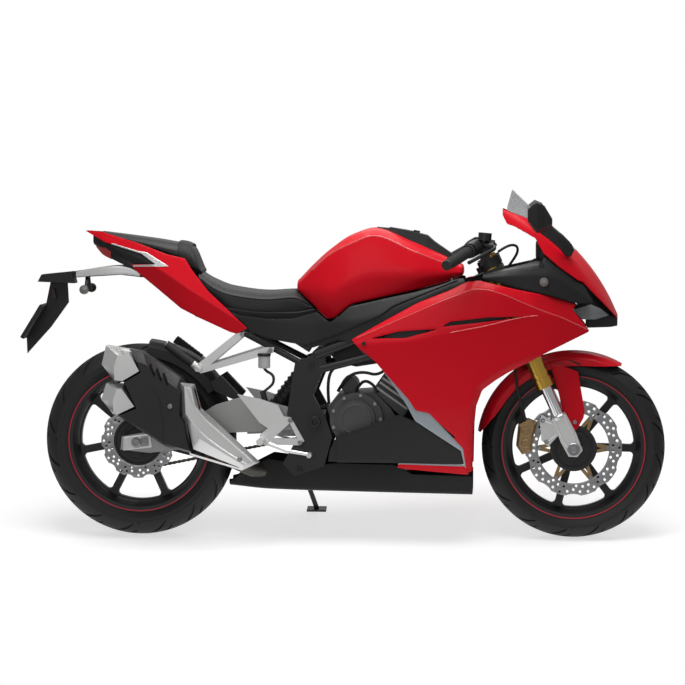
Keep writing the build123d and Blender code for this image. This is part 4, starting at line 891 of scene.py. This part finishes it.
bolts("chain_adjusters", facing_out((28, -121, 312)), 7, STEEL)
bolts("pinch_bolts", [(fork_point(23, along, y), ahead) for y in (-LEG_Y, LEG_Y) for along in (-6, 14)], 5,
      STEEL, "steering")
turned("fork_adjusters", [(fork_point(0, 675, y), up_fork) for y in (-LEG_Y, LEG_Y)],
       [(12, 0), (12, 4), (11, 5), (6, 5), (6, 9), (5, 10), (0.1, 10)], BRONZE, "steering", 24)
turned("axle_caps", facing_out((FRONT[0], -116.5, FRONT[1])),
       [(21, 0), (21, 3.5), (19, 5), (15, 5), (14, 3), (10.5, 3), (10, 5.8), (6, 6.2)], STEEL, "steering", 32)
turned("fork_rings", [(fork_point(0, 108, y), up_fork) for y in (-LEG_Y, LEG_Y)],
       [(24, -3), (25, 0), (25, 8), (23, 11), (19, 12)], SILVER, "steering", 32)
turned("rear_disc.carrier", [((REAR[0], -82, REAR[1]), RIGHT)],
       [(79, -3), (79, 0.4), (72, 0.6), (70, -1.5), (58, -1.5), (56, 1), (42, 1), (42, -4), (41, -4)],
       BLACK_METAL, "rear_wheel", 64)
turned("hub_cover", [((FRONT[0], -66.5, FRONT[1]), RIGHT)],
       [(74, 0), (74, 2), (71.5, 3.6), (60, 3.6), (58, 1.6), (52, 1.6), (50, 3.4), (42, 3.4), (41, 2),
        (41, -2)], BLACK_METAL, "front_wheel", 64)
bar_in, bar_out = Vector(fork_point(12.7, 715, -118)), Vector(fork_point(-119.2, 700.5, -345))
turned("grip_ribs", mirrored([(bar_in.lerp(bar_out, 0.46 + 0.036 * k), bar_out - bar_in) for k in range(13)]),
       [(16.5, -2.6), (18, -1.8), (18, 1.8), (16.5, 2.6)], RUBBER, "steering", 24)
peg_root, peg_tip = Vector((196, -118, 548)), Vector((96, -126, 622))
peg_way = peg_tip - peg_root
sleeve = [(13.2, 0.16), (14.6, 0.18), *((14.6 - 1.2 * (k % 2), 0.2 + 0.05 * k) for k in range(16)),
          (14.4, 0.99), (11, 1.0)]
turned("peg_rubbers", mirrored([(peg_root, peg_way)]), [(r, share * peg_way.length) for r, share in sleeve],
       RUBBER, segments=20)
UP = (0, 0, 1)
turned("brake_reservoir.cup", [((410, -136, 547), UP)], [(14, 0), (19, 2), (19, 38), (18, 39)], CUP,
       segments=28, node="brake_reservoir")
turned("brake_reservoir.lid", [((410, -136, 586), UP)], [(20, 0), (21, 1), (21, 6.5), (19.5, 8), (8, 8.2)],
       BLACK, segments=28)
bolts("brake_reservoir.bolt", [((424, -126, 598), RIGHT)], 6, STEEL)
turned("brake_reservoir.master", [((404, -132.6, 474), (14, 0, -50))],
       [(6, -1), (9, 0), (9, 40), (7, 42), (7, 51)], BLACK_METAL)

# Chain links round the sprocket and the pinion

PINION, CHAIN_Y, LINK = (655, 372), 87, 15.875
SPROCKET_PITCH, PINION_PITCH = 104, 36
span = hypot(PINION[0], PINION[1] - REAR[1])
tilt = atan2(PINION[1] - REAR[1], PINION[0])
swing = asin((SPROCKET_PITCH - PINION_PITCH) / span)
loop = [Vector(around(REAR, SPROCKET_PITCH, turn + tilt)) for turn in spaced(pi / 2 - swing, 1.5 * pi + swing,
                                                                             48)]
loop += [Vector(around(PINION, PINION_PITCH, turn + tilt)) for turn in spaced(-pi / 2 + swing, pi / 2 - swing,
                                                                              48)]
lengths = [0.0]
for a, b in zip(loop, loop[1:] + loop[:1]):
    lengths.append(lengths[-1] + (b - a).length)
link_count = 2 * round(lengths[-1] / LINK / 2)


def on_chain(share):
    """Point of the chain's pitch line."""
    want = (share % 1.0) * lengths[-1]
    i = max(k for k in range(len(loop)) if lengths[k] <= want)
    return loop[i].lerp(loop[(i + 1) % len(loop)],
                        (want - lengths[i]) / max(1e-6, lengths[i + 1] - lengths[i]))


parts = []
for link in range(link_count):
    a, b = on_chain(link / link_count), on_chain((link + 1) / link_count)
    way = (b - a).normalized()
    across = Vector((-way[1], way[0]))
    ring = []
    for end, first, waist in ((b, -90, 3.4), (a, 90, -3.4)):
        for turn in (radians(first + 30 * k) for k in range(7)):
            ring.append(end + 5.1 * (cos(turn) * way + sin(turn) * across))
        ring.append((a + b) / 2 + waist * across)
    near, far = (3.4, 5.2) if link % 2 else (5.4, 7.4)
    for sides in ((near, far), (-far, -near)):
        parts.append(([(q[0], CHAIN_Y + y, q[1]) for y in sides for q in ring], tube_faces(2, len(ring))))
    for radius, half, caps in ((2.7, 7.9, [tuple(range(10)), tuple(range(10, 20))]), (4.9, 3.4, [])):
        ring = [around(a, radius, pi * k / 5) for k in range(10)]
        parts.append(([(x, CHAIN_Y + y, z) for y in (-half, half) for x, z in ring],
                      grid_faces(2, 10, True) + caps))
new_piece("chain.links", *merged(parts), CHAIN, node="chain", sharp=35)

# Shock spring, hoses, ridges and seams

TOP, LOW, LEFT = Vector((568, 0, 582)), Vector((414, 0, 378)), Vector((0, 1, 0))
COILS, COIL_STEPS, COIL_RADIUS = 8, 16, 28
shock_up = LEFT.cross((LOW - TOP).normalized())
coil = []
for k in range(COILS * COIL_STEPS + 1):
    turn = 2 * pi * k / COIL_STEPS
    coil.append(TOP.lerp(LOW, 0.22 + 0.56 * k / (COILS * COIL_STEPS))
                + COIL_RADIUS * (cos(turn) * LEFT + sin(turn) * shock_up))
piping("rear_shock.spring", coil, 4.5, BLACK_METAL)
LINE = [(1148, -104, 916), (1176, -98, 936), (1206, -86, 938), (1212, -70, 916), (1190, -52, 880),
        (1160, -40, 840)]
piping("brake_line", LINE, 4.2, RUBBER, "steering")
HOSE = [(-151, -82, 74), (-158, -82, 120), (-178, -82, 178), (-188, -81, 260), (-190, -80, 310),
        (-205, -74, 356)]
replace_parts(piping("brake_hose.line", [(FRONT[0] + x, y, FRONT[1] + z) for x, y, z in HOSE], 4.5, RUBBER,
                   "steering"),
            "brake_hose")
piping("brake_reservoir.hose", [(410, -136, 549), (412, -136, 540), (440, -136, 526), (440, -135, 500),
                                (424, -134, 484), (405, -132.6, 470)], 4.5, RUBBER)
HOSES = [[(640, -70, 470), (668, -92, 520), (720, -96, 536), (772, -92, 520), (800, -88, 548)],
         [(612, -84, 430), (606, -100, 500), (628, -104, 556), (676, -100, 560)],
         [(700, -84, 474), (716, -100, 508), (752, -104, 500), (770, -98, 470)]]
for i, hose in enumerate(HOSES):
    piping(f"engine_hose.{i}", hose, 5, RUBBER)
RIDGES = [[(176, 488), (194, 424), (290, 338), (380, 260)], [(178, 400), (212, 350), (300, 286), (362, 250)]]
for i, ridge in enumerate(RIDGES):
    piping(f"shield_ridge.{i}", [(x, -225.4, z) for x, z in ridge], 3.2, SILVER)
SEAM = [(64, 495), (94, 446), (88, 420), (101, 384), (98, 316)]
piping("muffler_seam", [(x, -221.6, z) for x, z in SEAM], 1.8, BLACK_METAL)
for i, forward in enumerate((-17, 17)):
    rib = [fork_point(forward * share, along, -116.8) for along,
           share in ((104, 1), (60, 1.1), (24, 0.95), (6, 0.7))]
    piping_pair(f"fork_rib{i}", rib, 2.6, SILVER, "steering")
for name, rib in (("caliper_rib", ((-26, 100), (-44, 116), (-54, 124))),
                  ("caliper_rib_low", ((-26, 66), (-50, 58), (-68, 55)))):
    piping(name, [fork_point(forward, along, -96.4) for forward, along in rib], 2.6, SILVER, "steering")

# Crease beads: glossy piping in a lighter red, a painted highlight along the fairing and tank creases

crease_at = sections(FAIRING)
for column, first, last, tip in ((1, 708, 1300, [(1345, 715), (1390, 693), (1428, 674)]),
                                 (2, 1000, 1272, [])):
    run = [(x, crease_at(x)[column][1]) for x in spaced(first, last, 40)] + tip
    piping_pair(f"side_fairings.bead{column}", [(x, -(fairing_width(x, z) - 0.3), z) for x, z in run], 1.7,
                PAINTED_HIGHLIGHT_RED)
# tank bead below its upper crease: a painted highlight line
tank_at = sections(TANK)
run = [(x, *tank_at(x)[2]) for x in spaced(560, 1000, 40)]
piping_pair("fuel_tank.highlight_bead", [(x, -(y - 2.0), z - 1.6) for x, y, z in run], 3, PAINTED_HIGHLIGHT_RED)

# Radiator slats and cylinder ribs

parts = []
for z in (357 + 5.8 * k for k in range(40)):
    x = 1008 + 4 * (z - 352) / 238
    ring = [(x - 1, z), (x + 2.2, z + 0.6), (x + 2.2, z + 2.6), (x - 1, z + 2)]
    parts.append(([(px, y, pz) for y in (-149, 149) for px, pz in ring], grid_faces(2, 4, True)))
new_piece("radiator.slats", *merged(parts), GREY)
CYL_FOOT, CYL_TILT = (735, 452), radians(35)
parts = []
for along in (40, 60, 76, 92, 108, 130):
    ring = [(CYL_FOOT[0] + up * sin(CYL_TILT) + across * cos(CYL_TILT),
             CYL_FOOT[1] + up * cos(CYL_TILT) - across * sin(CYL_TILT))
            for up, across in ((along, 4), (along + 8, 4), (along + 8, 124), (along, 124))]
    parts.append(([(x, -y, z) for y in (99, 103.5) for x, z in ring],
                  grid_faces(2, 4, True) + [(4, 5, 6, 7)]))
round_edges(new_piece("cylinder_ribs", *both_sides(*merged(parts)), GREY), 1)

# Lamps

lamp_width = pchip([1384, 1450, 1502], [127, 103, 51])
LAMP_SIDE = [(1384, 735), (1440, 751), (1470, 738), (1500, 714), (1455, 703), (1412, 704)]
side_panels("headlamps.lens", LAMP_SIDE, lambda x, z: lamp_width(x) - 0.0018 * (z - 722) ** 2, LENS, "lamps",
            step=6, thick=2, corner=4)
LAMP_BACK = [(1392, 734), (1440, 747), (1466, 736), (1490, 715), (1455, 706), (1416, 707)]
side_panels("headlamps.reflector", LAMP_BACK, lambda x, z: lamp_width(x) - 16 - 0.25 * abs(z - 726), SILVER,
            "lamps", step=6, thick=2, corner=3)
CUP_SHAPE = [(1, 0, -3), (1, 0, 2), (0.86, 0, 3), (0.6, 0, 0), (0.3, 0, -2), (0, 0.1, -2.5)]
for name, x, z, radius in (("high", 1432, 728, 13), ("low", 1464, 721, 9)):
    turned(f"headlamps.{name}_beam", mirrored([((x, -lamp_width(x) + 11, z), (0.45, -0.9, 0))]),
           [(radius * share + more, height) for share, more, height in CUP_SHAPE], CHROME, segments=28)
for i, line in enumerate(([(1390, 733), (1420, 741), (1446, 745), (1472, 731)],
                          [(1446, 744), (1452, 722), (1458, 709)])):
    piping_pair(f"headlamps.strip{i}", [(x, -(lamp_width(x) - 7), z) for x, z in line], 1.5, CUP)
lofted("tail_lamp.lens", [(-142, [(16, 926), (20, 938)]), (-118, [(32, 902), (38, 930)]),
                          (-90, [(42, 888), (50, 914)])], (4, 4), RED_LENS, "lamps", 20, (1, 1))
stems = mirrored([((-172, -40, 792), (0, -56, 0)), ((1298, -180, 822), (-8, -52, 4))])
turned("turn_signals.body", stems, [(6, 0), (6, 24), (9, 25), (14.4, 29), (15, 34), (15, 44), (14, 44.5)],
       BLACK, segments=28, node="lamps")
turned("turn_signals.lens", stems, [(14, 44), (14, 48), (12.5, 51), (8, 52.6), (0.1, 53)], SMOKE, segments=28,
       node="lamps")

# Tail trim, plate and reflector

TAIL_TRIM = [(-84, 941), (8, 915), (30, 913), (104, 868), (-14, 866), (-14, 871), (62, 874), (14, 908),
             (-86, 937.5)]
side_panels("tail_trims", TAIL_TRIM, tail_width, SILVER, step=5, corner=2, thick=2.5, offset=1.6)
TAIL_INSERT = [(-100, 941), (13, 907), (60, 876), (-14, 874)]
side_panels("tail_inserts", TAIL_INSERT, tail_width, BLACK, step=7, corner=2, thick=2.5, offset=-4)
lofted("plate_bracket", [(-206, [(27, 829), (27, 850)]), (-60, [(41.5, 839), (41.5, 868)]),
                         (2, [(41.5, 833), (41.5, 851)])], (3, 4), SILVER, None, 12, (1, 1))
plate_low, plate_high = Vector((-378.6, 0, 640.4)), Vector((-314.6, 0, 744.4))
points = [(p[0], y, p[2]) for p in (plate_low.lerp(plate_high, share) for share in (0.04,
                                                                                    0.96)) for y in (-86, 86)]
new_piece("blank_plate", points, [(0, 2, 3, 1)], PLATE, thick=0.9, soften=0)
points = [(x, y, z) for x, z in ((-284.5, 791), (-278.5, 761)) for y in (-20, 20)]
new_piece("rear_reflector", points, [(0, 2, 3, 1)], RED_LENS, thick=0.8, soften=0)

# Fairing foot, vent backs and inner panels that close the view between the body's skins

FAIRING_FOOT = [(832, 237), (838, 246), (1044, 240), (1058, 226), (1056, 214), (850, 232)]
side_panels("side_fairings.foot", FAIRING_FOOT, fairing_skin, RED, step=7, corner=3, offset=0.8)
for i, vent in enumerate(VENTS):
    cx, cz = (sum(p[k] for p in vent) / len(vent) for k in (0, 1))
    grown = [(cx + (x - cx) * 1.1, cz + (z - cz) * 2.6) for x, z in vent]
    side_panels(f"vent_backs.{i}", grown, fairing_skin, BLACK, step=9, corner=2, offset=-7)
COVER_INNER = [(560, 612), (650, 640), (690, 628), (800, 688), (900, 742), (1010, 790), (1050, 812),
               (1040, 834), (1020, 832), (930, 800), (820, 756), (780, 726), (650, 668), (545, 628)]
side_panels("side_covers.inner", COVER_INNER, width_of(COVERS), BLACK, step=10, offset=-5)
COVER_FILLER = [(625, 690), (700, 690), (700, 760), (660, 745), (630, 715)]
side_panels("side_covers.filler", COVER_FILLER, lambda x, z: 100, BLACK, step=10)
HEEL = [(652, 336), (652, 252), (612, 252), (618, 286), (634, 322)]
side_panels("lower_fairings.heel", HEEL, fairing_skin, BLACK, step=9, offset=-6)
lofted("seat_base", [(226, [(86, 736), (92, 758)]), (300, [(106, 700), (110, 736)]),
                     (420, [(106, 692), (110, 724)]),
                     (500, [(96, 692), (98, 724)]), (566, [(82, 712), (84, 734)])], (5, 5), BLACK, None, 30,
                     (2, 2))
NOSE_INNER = [(1380, 842), (1415, 828), (1488, 754), (1526, 712), (1524, 702), (1490, 706), (1440, 738),
              (1396, 750), (1380, 800)]
inner_width = pchip([1380, 1440, 1490, 1526], [104, 84, 48, 20])
side_panels("nose_cowl.inner", NOSE_INNER, lambda x, z: inner_width(x), BLACK, step=9)
END_PLATE = [(-42, 325), (42, 336), (50, 292), (-44, 281)]
END_WINDOW = [(14, 326), (38, 329), (40, 297), (14, 293)]
side_panels("swingarm_ends", END_PLATE, lambda x, z: 123.5, SILVER, holes=[END_WINDOW], thick=4, step=6,
            corner=4)
# shelves along the cockpit panels' top edge in the lighter grey: painted top light
shelf_edge = straight([(1100, 843), (1150, 854), (1285, 879), (1290, 882)])
points = []
for k, x in enumerate(spaced(1102, 1286, 20)):
    out, in_by = cockpit_width(x, shelf_edge(x)) - 0.5, 14 + 44 * k / 20
    points += [(x, in_by * share - out, shelf_edge(x) + 0.5 + 0.2 * in_by * share) for share in (0, 0.5, 1)]
new_piece("cockpit_panels.shelves", *both_sides(points, flipped(grid_faces(21, 3))), LIT_TOP_GREY, thick=2.5,
          soften=0.5)

# Mirrors: head by sections of (y, z), stalk by (middle, half width, half height); glass and instrument face

HEAD = [(1240, [(263, 1013), (351, 1023), (351, 1055), (263, 1049)]),
        (1266, [(256, 978), (362, 990), (362, 1076), (256, 1064)]),
        (1290, [(262, 980), (356, 996), (356, 1066), (262, 1050)]),
        (1315, [(281, 1001), (329, 1007), (329, 1025), (281, 1019)])]
STALK = [((1286, 276, 1000), 13, 20), ((1318, 222, 972), 9, 17), ((1348, 164, 946), 10, 18),
         ((1370, 134, 922), 12, 19), ((1382, 124, 912), 6, 11)]
head = [[(x, -y, z) for y, z in corner_rounded(ring, 6, 4)] for x, ring in HEAD]
arm = [[(x + tall * sin(t) * 0.5, -(y + thin * cos(t)),
         z + tall * sin(t)) for t in (2 * pi * k / 16 for k in range(16))]
       for (x, y, z), thin, tall in STALK]
parts = [(sum(rings, []), flipped(tube_faces(len(rings), len(rings[0])))) for rings in (head, arm)]
round_edges(new_piece("mirrors.shell", *both_sides(*merged(parts)), BLACK, node="mirrors", sharp=25), 1.5, 25)
ring = corner_rounded([(264, 1014), (350, 1024), (350, 1054), (264, 1048)], 8, 5)
order = tuple(range(len(ring)))
new_piece("mirror_glassR", [(1239.2, -y, z) for y, z in ring], [order], GLASS)
new_piece("mirror_glassL", [(1239.2, y, z) for y, z in ring], [order[::-1]], GLASS)
ring = corner_rounded([(-64, 896), (64, 896), (64, 938), (-64, 938)], 9, 5)
new_piece("instrument_face", [(1267.2, y, z) for y, z in ring], [tuple(range(len(ring)))[::-1]], DIAL)

# Brake discs, lobed and drilled

DISC_THICK, LOBE_STEPS, LOBE_DIP = 4.4, 12, 7


def drilled_disc(end, centre, y, outer, inner, lobes, rows, hole):
    """Flat lobed ring with rows of holes given as (radius, turn in shares of a lobe)."""
    rim = []
    for k in range(lobes * LOBE_STEPS):
        dip = LOBE_DIP * max(0.0, -cos(2 * pi * k / LOBE_STEPS)) ** 0.6
        rim.append(around(centre, outer - dip, 2 * pi * k / lobes / LOBE_STEPS))
    holes = [[around(centre, inner, 2 * pi * k / 72) for k in range(72)]]
    for lobe in range(lobes):
        for radius, share in rows:
            at = around(centre, radius, 2 * pi * (lobe + share) / lobes)
            holes.append([around(at, hole, pi * k / 5) for k in range(10)])
    flat, faces = net(rim, holes, (), 9, 0)
    new_piece(f"{end}_disc.ring", [(x, y - DISC_THICK / 2, z) for x, z in flat], faces, STEEL, f"{end}_wheel",
              f"{end}_disc", thick=DISC_THICK, soften=0.3)


drilled_disc("front", FRONT, -64, 154, 113, 10,
             [(146, 0.02), (140, 0.28), (126, 0.12), (133, 0.5), (121, 0.62), (141, 0.74), (126, 0.88)], 4.4)
drilled_disc("rear", REAR, -80, 119, 78, 12, [(111, 0.0), (104, 0.3), (94, 0.1), (99, 0.6), (88, 0.5)], 4)

# CAD nodes that keep their own shape

for material, soft, nodes in (
        (BLACK_METAL, 2, ["muffler_body"]), (BLACK_METAL, 1.5, ["frame", "front_rim", "rear_rim"]),
        (BLACK_METAL, 1.2, ["subframe"]), (BLACK_METAL, 0.8, ["radiator", "fairing_stay", "hand_controls"]),
        (BLACK_METAL, 1, ["rear_shock", "rear_caliper", "fork_clamps", "handlebars", "side_stand",
                          "fuel_cap"]),
        (BLACK, 2, ["intake"]), (BLACK, 1.5, ["tank_cover"]), (BLACK, 0.8, ["rear_mudguard"]),
        (BLACK, 1, ["tail_undertray", "instrument_panel", "plate_holder"]),
        (ENGINE, 2, ["engine_covers"]), (ENGINE, 1.5, ["engine"]), (GREY, 2, ["swingarm"]),
        (SILVER, 2, ["fork_feet"]), (SILVER, 1.5, ["muffler_trims"]), (SILVER, 1.2, ["passenger_hangers"]),
        (SILVER, 1, ["foot_controls"]), (STEEL, 0.8, ["rear_axle", "front_axle"]),
        (STEEL, 0.4, ["rear_sprocket"]),
        (BRONZE, 2, ["front_caliper"]), (BRONZE, 0.6, ["front_disc_carrier"]), (GOLD, 1, ["fork_tubes"]),
        (RUBBER, 1, ["grips"]), (CHROME, 0, ["fork_stanchions"]), (DARK_STEEL, 0, ["exhaust_headers"])):
    for node in nodes:
        dress(node, material, soft)
